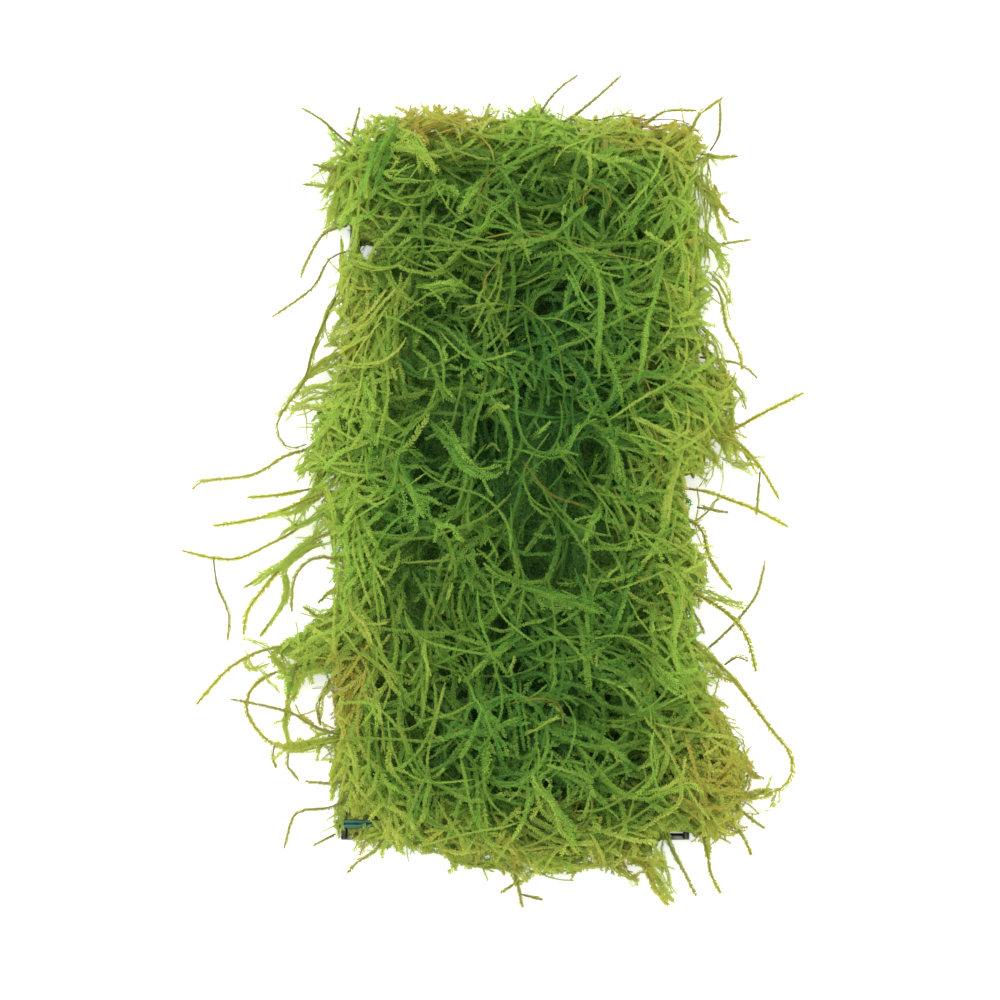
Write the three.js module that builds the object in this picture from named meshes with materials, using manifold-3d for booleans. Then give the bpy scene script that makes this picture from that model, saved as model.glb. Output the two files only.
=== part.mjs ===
// A java moss mat: a thick pad of java moss, tied with green coated wire onto a rectangle of
// welded stainless-steel mesh, the way it is sold for aquariums and ponds.
// Millimetres, +Z up. The mat lies flat on its mesh: +X is its right side and +Y its far end.
// The origin is on the underside of the mesh's middle cross wire, in the middle of the moss.

import * as THREE from 'three';
import { mergeVertices } from 'three/addons/utils/BufferGeometryUtils.js';
import Module from 'manifold-3d';

const wasm = await Module();
wasm.setup();

// Welded mesh: 9.5 by 10 mm openings, the cross wires underneath and the long wires on top. Its
// middle is left of the mat's, because the moss hangs out further on the right side.
const COLUMN_PITCH = 9.5;
const ROW_PITCH = 10;
const COLUMNS = 8;
const ROWS = 16;
const WIRE = 1.5;
const WELD_SINK = 0.3;
const MESH_MIDDLE = -2.85;
const MESH_WIDTH = COLUMNS * COLUMN_PITCH + WIRE;
const MESH_LENGTH = ROWS * ROW_PITCH + WIRE;
const MESH_THICK = 2 * WIRE - WELD_SINK;
const MESH_LEFT = MESH_MIDDLE - MESH_WIDTH / 2;
const MESH_RIGHT = MESH_MIDDLE + MESH_WIDTH / 2;
const GAP = 0.3;

// Tie: thin coated wire wound twice round the mat in the last row of openings at each end.
const TIE_WIRE = 0.9;
const TIE_PITCH = 1.0;
const TIE_INSET = 3.9;
const TIE_SLACK = 0.5;
const TIE_CLEAR = 0.02;
const TIE_SIDES = 6;
const TIE_BEND_STEPS = 6;
const TIE_END_BACK = 3;
const TIE_END_LEAN = 1.5;
const TIE_END_RISE = 1.6;
const TIE_END_ROOM = 1.1;

// Moss pad: its height at the rim and at the crown, and how fast it rounds over from the rim.
const RIM_LIFT = 0.4;
const BELLY_HEIGHT = 3.6;
const RIM_HEIGHT = 7.5;
const CROWN_HEIGHT = 16.5;
const ROUNDING = 8;
const SPINE_STEP = 6.5;
const SPINE_HALF = 8 * SPINE_STEP;
const OUTLINE_STEPS = 120;
const TOOTH = 0.9;
const TOOTH_TURN = 2.4;
const UNDERSIDE_SHARE = 0.985;
const RING_SHARES = [0.97, 0.89, 0.75, 0.56, 0.36, 0.17];
const BELOW_ALL = -1;

// Shoots: a leafy shoot is 1.6 to 2 mm across its leaves, a bare one about 1 mm.
const SHOOT_SIDES = 5;
const SHOOT_STEP = 5;
const TIP_SHARE = 0.35;
const FUSED_SINK = 0.1;
const ROOT_SINK = 3;
const FUSED_STEP = 8;
const CLEAR_RUN = 6;

// The pad's edge as seen from above, anticlockwise from the near left corner, where the moss
// stops short and leaves the tie bare.
const PAD_EDGE = [
  [-33.4, -77], [-36.6, -80.6], [-34, -83], [-28, -83.5], [-23, -84.2], [-19, -86], [-13, -88],
  [-6, -87.4], [-2.5, -89], [3, -88], [8, -88.4], [16, -87.4], [25, -88.2], [29, -88.8],
  [33, -87], [36.5, -84], [41, -82.6], [46, -78.6], [48.5, -74], [50.4, -68], [48.6, -61],
  [43.7, -54], [41.8, -47.5], [40.4, -40.5], [39.6, -33.5], [39.6, -27], [41, -20], [40.2, -12.7],
  [39.6, -5.7], [40.4, 1.5], [44.4, 8.5], [48.6, 15.5], [48.4, 22.5], [44.8, 30], [41.8, 37],
  [43.4, 44], [42.4, 51], [42.8, 58], [44, 66], [43.2, 73], [43.4, 80], [40.5, 86.4], [36, 88],
  [30, 87.4], [24, 88.6], [17, 87], [9, 88], [2, 89.4], [-6, 88.7], [-13, 88.4], [-20, 89.4],
  [-27, 88.2], [-34, 88.8], [-39.5, 86], [-43, 82], [-45, 74], [-45.6, 66], [-44.8, 58],
  [-44.3, 51], [-44.8, 44], [-46.3, 37], [-45.2, 30], [-47.3, 22.5], [-48.8, 15.5], [-50, 8.5],
  [-51, 1.5], [-47.9, -5.7], [-45.5, -12.7], [-44.7, -19.7], [-44.4, -26], [-48.5, -31.5],
  [-57, -36.4], [-57.4, -39.6], [-50.6, -42.4], [-45, -45], [-44.4, -50], [-43.9, -56],
  [-43.4, -62], [-42.6, -68], [-41, -72.6], [-35, -74],
];

// Dark hollows in the top of the pad: place, radius and depth.
const HOLLOWS = [
  [-13, 72, 7, 3], [3, 62, 6, 3], [-24, 38, 5, 3], [-2, 44, 6, 4], [-28, 18, 5, 3],
  [-13, -17, 5, 3], [13, -1, 6, 4], [-17, -34, 5, 3], [2, -28, 6, 4], [-24, -50, 8, 5],
  [14, -54, 6, 4], [-6, -60, 5, 3], [24, 22, 5, 2], [26, -40, 5, 3],
];

// Swells in the top of the pad: wave length, direction in degrees, offset and height.
const SWELLS = [
  [27, 35, 0.4, 1.1],
  [19, -50, 1.7, 0.9],
  [13, 80, 2.9, 0.6],
];

// The longest shoots on top of the pad, seen from above: radius, then points from root to tip.
const TOP_SHOOTS = [
  [0.9, [15.5, 56], [14.5, 50.4], [16, 44], [16.2, 34.6], [15.6, 17.5]],
  [0.8, [16.5, 51], [19.4, 43.7], [20.5, 35], [24, 27]],
  [0.8, [29.5, 54], [29.3, 43.7], [26.8, 30], [25, 19], [27, 8]],
  [0.8, [33, 41.5], [28.5, 37], [22, 30.6], [17.5, 27]],
  [0.9, [8, 31], [11, 22], [16, 10], [21, -2], [24, -9]],
  [0.8, [25, -9], [23, -15.5], [19, -23], [16, -31]],
  [0.9, [-23, 27], [-20, 17], [-16.5, 5], [-10.4, -5], [-9, -17]],
  [0.9, [-34, 8], [-27, -2.5], [-23, -11], [-15.5, -16], [-7, -23]],
  [1.0, [-11, -52], [-3, -61], [4, -71], [9, -78], [14, -84]],
  [0.8, [-38, 70], [-37, 55], [-39, 40], [-36, 30]],
  [0.8, [-33, 60], [-22, 66], [-10, 63], [0, 58]],
  [0.8, [0, 80], [12, 76], [22, 68], [31, 62]],
  [0.8, [-30, 82], [-26, 74], [-18, 70], [-8, 70]],
  [0.9, [-20, -6], [-18, -22], [-6, -33], [8, -37], [20, -36]],
  [0.8, [-30, -22], [-20, -34], [-8, -44], [6, -50]],
  [0.8, [6, -34], [16, -44], [24, -56], [33, -66]],
  [0.8, [-36, -48], [-30, -58], [-20, -66], [-12, -74]],
  [0.8, [36, 66], [34, 58], [37, 48], [36, 38]],
  [0.8, [30, -14], [34, -26], [32, -38], [36, -50]],
  [0.8, [-12, 20], [-2, 27], [10, 31], [21, 40]],
  [0.8, [12, -64], [22, -70], [30, -76], [34, -82]],
  [0.8, [-8, 8], [2, 4], [12, 6], [22, 12], [33, 14]],
];

// Shoots that stick out past the pad's edge: name, radius, then points from root to tip.
const STRAY_SHOOTS = [
  ['left_shoot_1', 0.5, [-38, 78, 8], [-43.5, 82.5, 7], [-48.5, 88, 4.5], [-53.5, 92, 2]],
  ['left_shoot_2', 0.5, [-40, 74, 7], [-45, 75, 6], [-50.5, 77, 4]],
  ['left_shoot_3', 0.5, [-39, 71, 6], [-45, 71.5, 4], [-53, 73, 1.5]],
  ['left_shoot_4', 0.6, [-42, 61, 6], [-47.5, 59.5, 5], [-51.8, 53, 2.5], [-53, 50, 1.2]],
  ['left_shoot_5', 0.5, [-41, 54, 9], [-46, 52.5, 7], [-50, 46.5, 4], [-59.4, 40.5, 1]],
  ['left_shoot_6', 0.5, [-44.3, 43.6, 6], [-47.1, 37.5, 5.4], [-49.5, 31.4, 5], [-51.4, 24, 4.6],
    [-56.5, 16.6, 3.6], [-57.6, 12.4, 3.4], [-54.9, 8.3, 3.6], [-52.2, 8.6, 4.2]],
  ['left_shoot_7', 0.7, [-47, 9, 5], [-52, 7.6, 3], [-56, 6.6, 2], [-63.1, 2.5, 1.2],
    [-74.7, 1, 0.9], [-77, -0.8, 0.8]],
  ['left_shoot_8', 0.8, [-46, -1, 5], [-52.6, -2, 3.5], [-58, -2.6, 2], [-64.3, -2.8, 1]],
  ['left_shoot_9', 0.9, [-45, -3, 8], [-51.6, -4.8, 5], [-57, -6.8, 2.6], [-64.1, -8.3, 1.2],
    [-71.9, -9.5, 1]],
  ['left_shoot_10', 0.7, [-44, -6, 5], [-50.5, -9, 3], [-54, -11.4, 2], [-59.2, -14, 1.3],
    [-65.7, -17, 1], [-71.7, -17, 1], [-79, -15.2, 0.8]],
  ['left_shoot_11', 0.5, [-71.6, -18, 0.9], [-70.6, -23.6, 0.8], [-67.9, -29.6, 0.8],
    [-68, -36, 0.8]],
  ['left_shoot_12', 1.0, [-41, -11, 7], [-46.4, -12.6, 5.5], [-51.4, -15, 3], [-56.7, -20, 1.6],
    [-60.3, -24.5, 1.3], [-63.6, -29.2, 1.2], [-64.4, -34.5, 1.2]],
  ['left_shoot_13', 0.7, [-54.9, -21, 0.9], [-54.6, -25.5, 0.9], [-57.4, -30.4, 0.9],
    [-60.6, -35, 0.9]],
  ['left_shoot_14', 0.6, [-41, -19, 6], [-46, -17.6, 5.5], [-50, -18.6, 4.6], [-53, -22.6, 3.6],
    [-53.4, -29.6, 2.8]],
  ['corner_shoot_1', 0.8, [-52, -38, 6], [-58.6, -38.4, 4], [-64.7, -40.6, 1.6],
    [-69, -43.8, 1], [-74.6, -50.5, 0.9]],
  ['corner_shoot_2', 0.8, [-51, -42, 3], [-57.4, -43.6, 1.6], [-62, -46.6, 1], [-63.4, -51.4, 1],
    [-61, -56, 1], [-57.3, -59.4, 1], [-52.3, -60.4, 1.2], [-47, -58.6, 2]],
  ['corner_shoot_3', 0.9, [-52, -42, 5], [-53.8, -48.6, 1.6], [-54.6, -54, 1.2], [-54.4, -57, 1]],
  ['corner_shoot_4', 0.5, [-42, -58, 7], [-47.8, -56, 6], [-52.5, -53, 4.6], [-59.5, -51, 3.4],
    [-66.7, -49.6, 3]],
  ['corner_shoot_5', 0.5, [-53.7, -61.7, 0.9], [-54, -63.9, 0.8], [-52.6, -65.9, 0.8],
    [-51.3, -67.5, 0.8]],
  ['corner_shoot_6', 0.5, [-39, -68, 7], [-44, -68.6, 5], [-49.5, -68, 3.6]],
  ['corner_shoot_7', 0.5, [-37, -68, 8], [-42.4, -73.4, 5], [-50.3, -74.4, 2.6],
    [-52.6, -76.5, 1.4], [-54.2, -82.6, 0.8]],
  ['near_shoot_1', 0.6, [-30, -79, 6], [-34, -83.4, 3], [-37.6, -85.4, 1.4], [-40, -88, 0.9]],
  ['near_shoot_2', 0.7, [-3.4, -84, 5], [-2.7, -88.6, 3], [-1.8, -92.6, 1.4], [-1.2, -95.4, 0.9]],
  ['near_shoot_3', 1.1, [21, -80, 7], [25.3, -86.4, 5], [28, -91.2, 2.4], [31, -95, 1.3]],
  ['near_shoot_4', 0.6, [31, -82, 6], [34.5, -88, 3.6], [37.2, -93, 1]],
  ['near_shoot_5', 0.7, [38, -78, 6], [39.8, -84.6, 3.6], [40.4, -88, 2], [42.6, -92.4, 0.9]],
  ['near_shoot_6', 0.7, [43, -75, 5], [47.6, -80, 3], [49.6, -84, 1]],
  ['near_shoot_7', 0.6, [44, -72, 6], [48.6, -75.6, 4], [52.6, -78.3, 2]],
  ['right_shoot_1', 0.6, [39, 79, 7], [45, 78.6, 5], [50.2, 79.5, 3]],
  ['right_shoot_2', 0.6, [40, 71, 6], [45, 67.6, 4.6], [47.6, 64.2, 3], [50.2, 63.2, 2]],
  ['right_shoot_3', 0.6, [39, 55, 6], [45, 57, 4.4], [52.8, 59, 2]],
  ['right_shoot_4', 0.8, [40, 48, 8], [44.6, 44.5, 7], [46.3, 36, 6.4], [49, 31, 6],
    [49.6, 26.6, 5.4]],
  ['right_shoot_5', 0.6, [40, 29.5, 5], [46.4, 29, 3.4], [50.4, 28.2, 2], [53.7, 25.6, 1]],
  ['right_shoot_6', 0.8, [43, 10, 7], [48.4, 12.8, 5], [52, 15.3, 3], [56.6, 18, 1.6],
    [64.2, 22, 0.9]],
  ['right_shoot_7', 0.8, [40, 10, 8], [47.6, 9, 6.6], [53.4, 3.2, 5], [57.6, -3.8, 3.8]],
  ['right_shoot_8', 0.9, [33, -1.4, 6], [40.4, -2.2, 5], [46.3, -3.6, 2.4], [52.7, -5.8, 1.2],
    [59.8, -9.6, 0.9]],
  ['right_shoot_9', 0.9, [34, -8, 7], [39.6, -11, 5.4], [40.8, -16, 5], [43, -20.4, 4.4],
    [46.5, -24.6, 3]],
  ['right_shoot_10', 0.5, [36, -41.4, 6], [41.3, -37.7, 4], [45.5, -33.8, 2.4], [48.3, -30.8, 1.6],
    [52.4, -25.1, 1], [54.4, -17.6, 0.8]],
  ['right_shoot_11', 1.0, [36.8, -26, 9], [42.2, -28.8, 7.6], [46.8, -32.3, 6],
    [49.7, -36.4, 4.4], [51.5, -43.2, 2.6]],
  ['right_shoot_12', 0.6, [36.6, -37.4, 8], [43.4, -42.4, 5], [46.9, -45.9, 3.6],
    [54.9, -56.4, 1.6], [58.6, -60.9, 1.2], [59.4, -65.1, 1.2], [58.4, -67.8, 1.6],
    [56.3, -69.8, 2.2], [53.6, -70.6, 3]],
  ['far_shoot_1', 0.5, [1.9, 85.1, 8], [4.9, 91.6, 6], [8.3, 96.4, 4], [12.6, 100.9, 1]],
  ['far_shoot_2', 0.5, [7.7, 85.3, 7], [12.5, 89.9, 4.6], [17.7, 95.2, 2.6],
    [22.8, 100.7, 0.9]],
  ['far_shoot_3', 0.6, [26, 84, 7], [32, 89.6, 5], [36, 90.8, 3.6], [40.6, 91.2, 2.4]],
  ['far_shoot_4', 0.7, [37, 80, 8], [40.6, 87.8, 8], [43, 90, 7], [46.6, 93.4, 5]],
  ['far_shoot_5', 0.6, [-10, 84, 8], [-9.4, 89, 6], [-8.6, 92.4, 4]],
];

const metal = new THREE.MeshStandardMaterial({ color: 0x8d8f8c, roughness: 0.38, metalness: 1 });
const coated = new THREE.MeshStandardMaterial({ color: 0x0f6b58, roughness: 0.3, metalness: 0 });
const mossGreen = new THREE.MeshStandardMaterial({ color: 0x4c7026, roughness: 0.75 });
const shootGreen = new THREE.MeshStandardMaterial({ color: 0x9cab46, roughness: 0.7 });

// Turns a three.js geometry into a solid that can be joined and cut.
function solidFrom(geometry) {
  const bare = geometry.clone();
  bare.deleteAttribute('normal');
  bare.deleteAttribute('uv');
  const merged = mergeVertices(bare, 1e-4);
  const corners = [];
  for (let i = 0; i < merged.index.count; i += 3) {
    const [a, b, c] = [0, 1, 2].map((k) => merged.index.getX(i + k));
    if (a !== b && b !== c && c !== a) corners.push(a, b, c);
  }
  return new wasm.Manifold(new wasm.Mesh({
    numProp: 3,
    vertProperties: new Float32Array(merged.attributes.position.array),
    triVerts: new Uint32Array(corners),
  }));
}

function geometryFrom(solid) {
  const mesh = solid.getMesh();
  const geometry = new THREE.BufferGeometry();
  geometry.setAttribute('position', new THREE.BufferAttribute(mesh.vertProperties, 3));
  geometry.setIndex(new THREE.BufferAttribute(mesh.triVerts, 1));
  geometry.computeVertexNormals();
  return geometry;
}

function boxSolid(low, high) {
  const box = new THREE.BoxGeometry(high[0] - low[0], high[1] - low[1], high[2] - low[2]);
  box.translate((low[0] + high[0]) / 2, (low[1] + high[1]) / 2, (low[2] + high[2]) / 2);
  return solidFrom(box);
}

// The mesh: cross wires at the bottom, long wires welded across them.
function meshPlate() {
  let plate = null;
  for (let i = 0; i <= ROWS; i += 1) {
    const y = (i - ROWS / 2) * ROW_PITCH;
    const wire = boxSolid([MESH_LEFT, y - WIRE / 2, 0], [MESH_RIGHT, y + WIRE / 2, WIRE]);
    plate = plate ? plate.add(wire) : wire;
  }
  for (let i = 0; i <= COLUMNS; i += 1) {
    const x = MESH_MIDDLE + (i - COLUMNS / 2) * COLUMN_PITCH;
    plate = plate.add(boxSolid(
      [x - WIRE / 2, -MESH_LENGTH / 2, WIRE - WELD_SINK],
      [x + WIRE / 2, MESH_LENGTH / 2, MESH_THICK],
    ));
  }
  return geometryFrom(plate);
}

// A round section as a polygon, for tubes along a curve.
function roundSection(radius, sides) {
  const shape = new THREE.Shape();
  for (let i = 0; i < sides; i += 1) {
    const turn = (i / sides) * 2 * Math.PI;
    const x = radius * Math.cos(turn);
    const y = radius * Math.sin(turn);
    if (i === 0) shape.moveTo(x, y);
    else shape.lineTo(x, y);
  }
  return shape;
}

// A path that goes from point to point as given, one extrusion step for each stretch.
class PointPath extends THREE.Curve {
  constructor(points) {
    super();
    this.points = points;
  }

  getPoint(t, target = new THREE.Vector3()) {
    const place = t * (this.points.length - 1);
    const before = Math.min(Math.floor(place), this.points.length - 2);
    return target.lerpVectors(this.points[before], this.points[before + 1], place - before);
  }

  getPointAt(t, target) {
    return this.getPoint(t, target);
  }

  getTangentAt(t, target) {
    return this.getTangent(t, target);
  }
}

// Heights of the tie's two runs: above the long wires, and under them between two cross wires.
// TIE_SIDE is how far its bends reach to either side of the mesh's middle.
const TIE_TOP = MESH_THICK + GAP + TIE_WIRE / 2;
const TIE_BOTTOM = TIE_WIRE / 2 + TIE_CLEAR;
const TIE_SIDE = MESH_WIDTH / 2 + GAP + TIE_WIRE / 2 + TIE_SLACK;
const TIE_END = MESH_MIDDLE + TIE_SIDE - TIE_END_BACK;

// The tie: two turns round the mesh, its first end turned up into the moss.
function tieWire(endSign) {
  const y = endSign * (MESH_LENGTH / 2 - TIE_INSET);
  const middle = (TIE_TOP + TIE_BOTTOM) / 2;
  const half = (TIE_TOP - TIE_BOTTOM) / 2;
  const bend = (side, fromY, toY) => {
    const points = [];
    for (let i = 0; i <= TIE_BEND_STEPS; i += 1) {
      const share = i / TIE_BEND_STEPS;
      const reach = half * (Math.sin(Math.PI * share) - 1);
      points.push(new THREE.Vector3(
        MESH_MIDDLE + side * (TIE_SIDE + reach),
        fromY + (toY - fromY) * share,
        middle - side * half * Math.cos(Math.PI * share),
      ));
    }
    return points;
  };
  const first = y - TIE_PITCH;
  const points = [
    new THREE.Vector3(TIE_END, first, TIE_TOP + TIE_END_RISE),
    new THREE.Vector3(TIE_END - TIE_END_LEAN, first, TIE_TOP),
    ...bend(-1, first, first),
    ...bend(1, first, y),
    ...bend(-1, y, y),
    new THREE.Vector3(TIE_END, y, TIE_BOTTOM),
  ];
  return new THREE.ExtrudeGeometry(roundSection(TIE_WIRE / 2, TIE_SIDES), {
    extrudePath: new PointPath(points),
    steps: points.length - 1,
    bevelEnabled: false,
  });
}

const padEdge = new THREE.CatmullRomCurve3(
  PAD_EDGE.map(([x, y]) => new THREE.Vector3(x, y, 0)),
  true,
).getSpacedPoints(OUTLINE_STEPS).slice(0, OUTLINE_STEPS);

// The edge is ragged: every sample steps out or in by a share of a tooth.
const raggedEdge = padEdge.map((point, i) => {
  const before = padEdge[(i + OUTLINE_STEPS - 1) % OUTLINE_STEPS];
  const after = padEdge[(i + 1) % OUTLINE_STEPS];
  const outward = new THREE.Vector3(after.y - before.y, before.x - after.x, 0).normalize();
  const step = TOOTH * Math.sin(i * TOOTH_TURN) + (i % 2 ? -TOOTH / 2 : TOOTH / 2);
  return point.clone().addScaledVector(outward, step);
});

// How far a place lies inside the pad's edge, negative outside it.
function insideEdge(x, y) {
  let nearest = Infinity;
  let inside = false;
  for (let i = 0; i < raggedEdge.length; i += 1) {
    const a = raggedEdge[i];
    const b = raggedEdge[(i + 1) % raggedEdge.length];
    const along = ((x - a.x) * (b.x - a.x) + (y - a.y) * (b.y - a.y)) / a.distanceToSquared(b);
    const t = THREE.MathUtils.clamp(along, 0, 1);
    const far = Math.hypot(x - a.x - t * (b.x - a.x), y - a.y - t * (b.y - a.y));
    nearest = Math.min(nearest, far);
    if ((a.y > y) !== (b.y > y) && x < a.x + ((y - a.y) / (b.y - a.y)) * (b.x - a.x)) {
      inside = !inside;
    }
  }
  return inside ? nearest : -nearest;
}

// Height of the pad's top: rounded over at the rim, with swells and hollows.
function topHeight(x, y) {
  const inset = Math.max(insideEdge(x, y), 0);
  const dome = 1 - Math.exp(-inset / ROUNDING);
  let height = RIM_HEIGHT + (CROWN_HEIGHT - RIM_HEIGHT) * dome;
  for (const [length, degrees, offset, rise] of SWELLS) {
    const turn = THREE.MathUtils.degToRad(degrees);
    const along = x * Math.cos(turn) + y * Math.sin(turn);
    height += rise * dome * Math.sin((2 * Math.PI * along) / length + offset);
  }
  for (const [hx, hy, radius, depth] of HOLLOWS) {
    height -= depth * Math.exp(-((x - hx) ** 2 + (y - hy) ** 2) / (radius * radius));
  }
  return height;
}

// The pad's body: rings from the ragged edge in to a spine along its middle, closed below.
function padGeometry() {
  const spineAt = (y) => THREE.MathUtils.clamp(y, -SPINE_HALF, SPINE_HALF);
  const ring = (share, heightAt) => raggedEdge.map((point) => {
    const x = point.x * share;
    const y = spineAt(point.y) + (point.y - spineAt(point.y)) * share;
    return new THREE.Vector3(x, y, heightAt(x, y));
  });
  const spine = raggedEdge.map((point) => {
    const y = SPINE_STEP * Math.round(spineAt(point.y) / SPINE_STEP);
    return new THREE.Vector3(0, y, topHeight(0, y));
  });
  const rings = [
    ring(UNDERSIDE_SHARE, () => RIM_LIFT),
    ring(1, () => BELLY_HEIGHT),
    ...RING_SHARES.map((share) => ring(share, topHeight)),
    spine,
  ];
  const count = raggedEdge.length;
  const index = [];
  for (let r = 1; r < rings.length; r += 1) {
    for (let i = 0; i < count; i += 1) {
      const a = (r - 1) * count + i;
      const b = (r - 1) * count + ((i + 1) % count);
      index.push(a, b, b + count, a, b + count, a + count);
    }
  }
  const underside = rings[0].map((point) => new THREE.Vector2(point.x, point.y));
  for (const [a, b, c] of THREE.ShapeUtils.triangulateShape(underside, [])) {
    index.push(a, c, b);
  }
  const geometry = new THREE.BufferGeometry().setFromPoints(rings.flat());
  geometry.setIndex(index);
  return geometry;
}

// A shoot: a tube along its points that thins towards its tip.
function shootGeometry(points, radius, stepLength) {
  const curve = new THREE.CatmullRomCurve3(points, false, 'catmullrom', 0.5);
  const steps = Math.max(2, Math.round(curve.getLength() / stepLength));
  const geometry = new THREE.ExtrudeGeometry(roundSection(radius, SHOOT_SIDES), {
    extrudePath: curve,
    steps,
    bevelEnabled: false,
  });
  const spine = curve.getSpacedPoints(steps);
  const position = geometry.attributes.position;
  const vertex = new THREE.Vector3();
  for (let i = 0; i < position.count; i += 1) {
    vertex.fromBufferAttribute(position, i);
    let nearest = 0;
    for (let k = 1; k < spine.length; k += 1) {
      if (vertex.distanceTo(spine[k]) < vertex.distanceTo(spine[nearest])) nearest = k;
    }
    const share = 1 - (1 - TIP_SHARE) * (nearest / steps) ** 2;
    vertex.sub(spine[nearest]).multiplyScalar(share).add(spine[nearest]);
    position.setXYZ(i, vertex.x, vertex.y, vertex.z);
  }
  return geometry;
}

// The pad with its longest top shoots grown on, cut clear of the mesh and the ties.
function mossPad() {
  let pad = solidFrom(padGeometry());
  for (const [radius, ...route] of TOP_SHOOTS) {
    const points = route.map(([x, y], i) => {
      const sink = i === 0 ? ROOT_SINK : FUSED_SINK;
      return new THREE.Vector3(x, y, topHeight(x, y) + radius - sink);
    });
    pad = pad.add(solidFrom(shootGeometry(points, radius, FUSED_STEP)));
  }
  const room = GAP + TIE_WIRE / 2;
  for (const endSign of [-1, 1]) {
    const y = endSign * (MESH_LENGTH / 2 - TIE_INSET);
    pad = pad.subtract(boxSolid(
      [MESH_MIDDLE - TIE_SIDE - room, y - TIE_PITCH - room, BELOW_ALL],
      [MESH_MIDDLE + TIE_SIDE + room, y + room, TIE_TOP + room],
    ));
    pad = pad.subtract(boxSolid(
      [TIE_END - TIE_END_LEAN - TIE_END_ROOM, y - TIE_PITCH - room, BELOW_ALL],
      [TIE_END + TIE_END_ROOM, y + room, TIE_TOP + TIE_END_RISE + room],
    ));
  }
  return geometryFrom(pad.subtract(boxSolid(
    [MESH_LEFT - GAP, -MESH_LENGTH / 2 - GAP, BELOW_ALL],
    [MESH_RIGHT + GAP, MESH_LENGTH / 2 + GAP, MESH_THICK + GAP],
  )));
}

// A stray shoot's route from where it leaves the pad: what lies inside the pad is left out.
function outsidePad(route, radius) {
  const curve = new THREE.CatmullRomCurve3(route, false, 'catmullrom', 0.5);
  const fine = curve.getSpacedPoints(Math.ceil(curve.getLength() * 2));
  const clear = fine.map((point) => insideEdge(point.x, point.y) < -radius - GAP);
  const first = clear.findIndex((value, i) => value && clear.slice(i, i + CLEAR_RUN).every(Boolean));
  const last = clear.indexOf(false, first);
  const kept = fine.slice(first, last < 0 ? fine.length : last);
  const count = Math.max(2, Math.round(kept.length / (2 * SHOOT_STEP)));
  const points = [];
  for (let i = 0; i <= count; i += 1) {
    points.push(kept[Math.round((i / count) * (kept.length - 1))]);
  }
  return points;
}

const mat = new THREE.Group();

function addPiece(name, geometry, material) {
  const piece = new THREE.Mesh(geometry, material);
  piece.name = name;
  mat.add(piece);
}

addPiece('mesh_plate', meshPlate(), metal);
addPiece('near_tie', tieWire(-1), coated);
addPiece('far_tie', tieWire(1), coated);
addPiece('moss_pad', mossPad(), mossGreen);
for (const [name, radius, ...route] of STRAY_SHOOTS) {
  const points = outsidePad(route.map((point) => new THREE.Vector3(...point)), radius);
  addPiece(name, shootGeometry(points, radius, SHOOT_STEP), shootGreen);
}

export default mat;
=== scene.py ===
# A java moss mat: a thick pad of java moss, tied with green coated wire onto a rectangle of welded
# stainless-steel mesh. It lies flat on a pale floor, seen almost straight down from its near end.
# Lists of places are in millimetres, as the part's own are; Blender's meshes are in metres.

import math

import bmesh
import bpy
import numpy as np
from mathutils import Matrix, Vector
from mathutils.bvhtree import BVHTree


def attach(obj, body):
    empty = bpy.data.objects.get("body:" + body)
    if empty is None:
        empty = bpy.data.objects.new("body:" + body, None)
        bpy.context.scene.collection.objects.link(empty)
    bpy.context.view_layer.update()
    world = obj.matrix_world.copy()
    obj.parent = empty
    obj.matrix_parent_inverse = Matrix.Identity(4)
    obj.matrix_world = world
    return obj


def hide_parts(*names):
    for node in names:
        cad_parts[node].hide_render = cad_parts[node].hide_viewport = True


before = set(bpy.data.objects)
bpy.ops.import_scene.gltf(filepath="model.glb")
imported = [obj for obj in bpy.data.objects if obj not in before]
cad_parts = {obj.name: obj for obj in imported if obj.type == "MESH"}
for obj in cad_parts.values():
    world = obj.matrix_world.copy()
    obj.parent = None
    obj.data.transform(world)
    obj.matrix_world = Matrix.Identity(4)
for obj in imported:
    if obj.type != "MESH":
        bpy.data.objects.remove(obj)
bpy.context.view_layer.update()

# Camera: a normal lens half a metre away, tipped 12 degrees from straight down, aimed a little
# left of the mat's middle because the long loose shoots on that side widen the picture.
CAMERA_AIM = Vector((-0.0062, -0.0032, 0.0))
CAMERA_DISTANCE = 0.5
CAMERA_ELEVATION = math.radians(78)
CAMERA_LENS = 78.1

lens = bpy.data.cameras.new("camera")
lens.lens = CAMERA_LENS
lens.clip_start = 0.01
camera = bpy.data.objects.new("camera", lens)
bpy.context.scene.collection.objects.link(camera)
camera_back = Vector((0, -math.cos(CAMERA_ELEVATION), math.sin(CAMERA_ELEVATION)))
camera.location = CAMERA_AIM + camera_back * CAMERA_DISTANCE
camera.rotation_euler = (-camera_back).to_track_quat("-Z", "Y").to_euler()
bpy.context.scene.camera = camera

# Floor and light: a matt white light table under a wide soft sky, with one large lamp up and to
# the left. The table shines a little itself, so that it stays white and the thin moss glows.
FLOOR_SIZE = 3.0
FLOOR_DROP = 0.0001
FLOOR_WHITE = "fafaf8"
FLOOR_GLOW = 0.4
SKY_STRENGTH = 1.3
LAMP_PLACE = Vector((-0.35, 0.3, 0.75))
LAMP_SIZE = 0.5
LAMP_WATTS = 3.0


def linear(code):
    """Turns an sRGB hex colour into the linear one that Blender's sockets take."""
    shares = [int(code[i : i + 2], 16) / 255 for i in (0, 2, 4)]
    curved = [s / 12.92 if s <= 0.04045 else ((s + 0.055) / 1.055) ** 2.4 for s in shares]
    return (*curved, 1.0)


def new_material(name):
    """A material with its Principled shader, and the tree that its nodes go into."""
    material = bpy.data.materials.new(name)
    material.use_nodes = True
    return material, material.node_tree, material.node_tree.nodes["Principled BSDF"]


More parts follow.
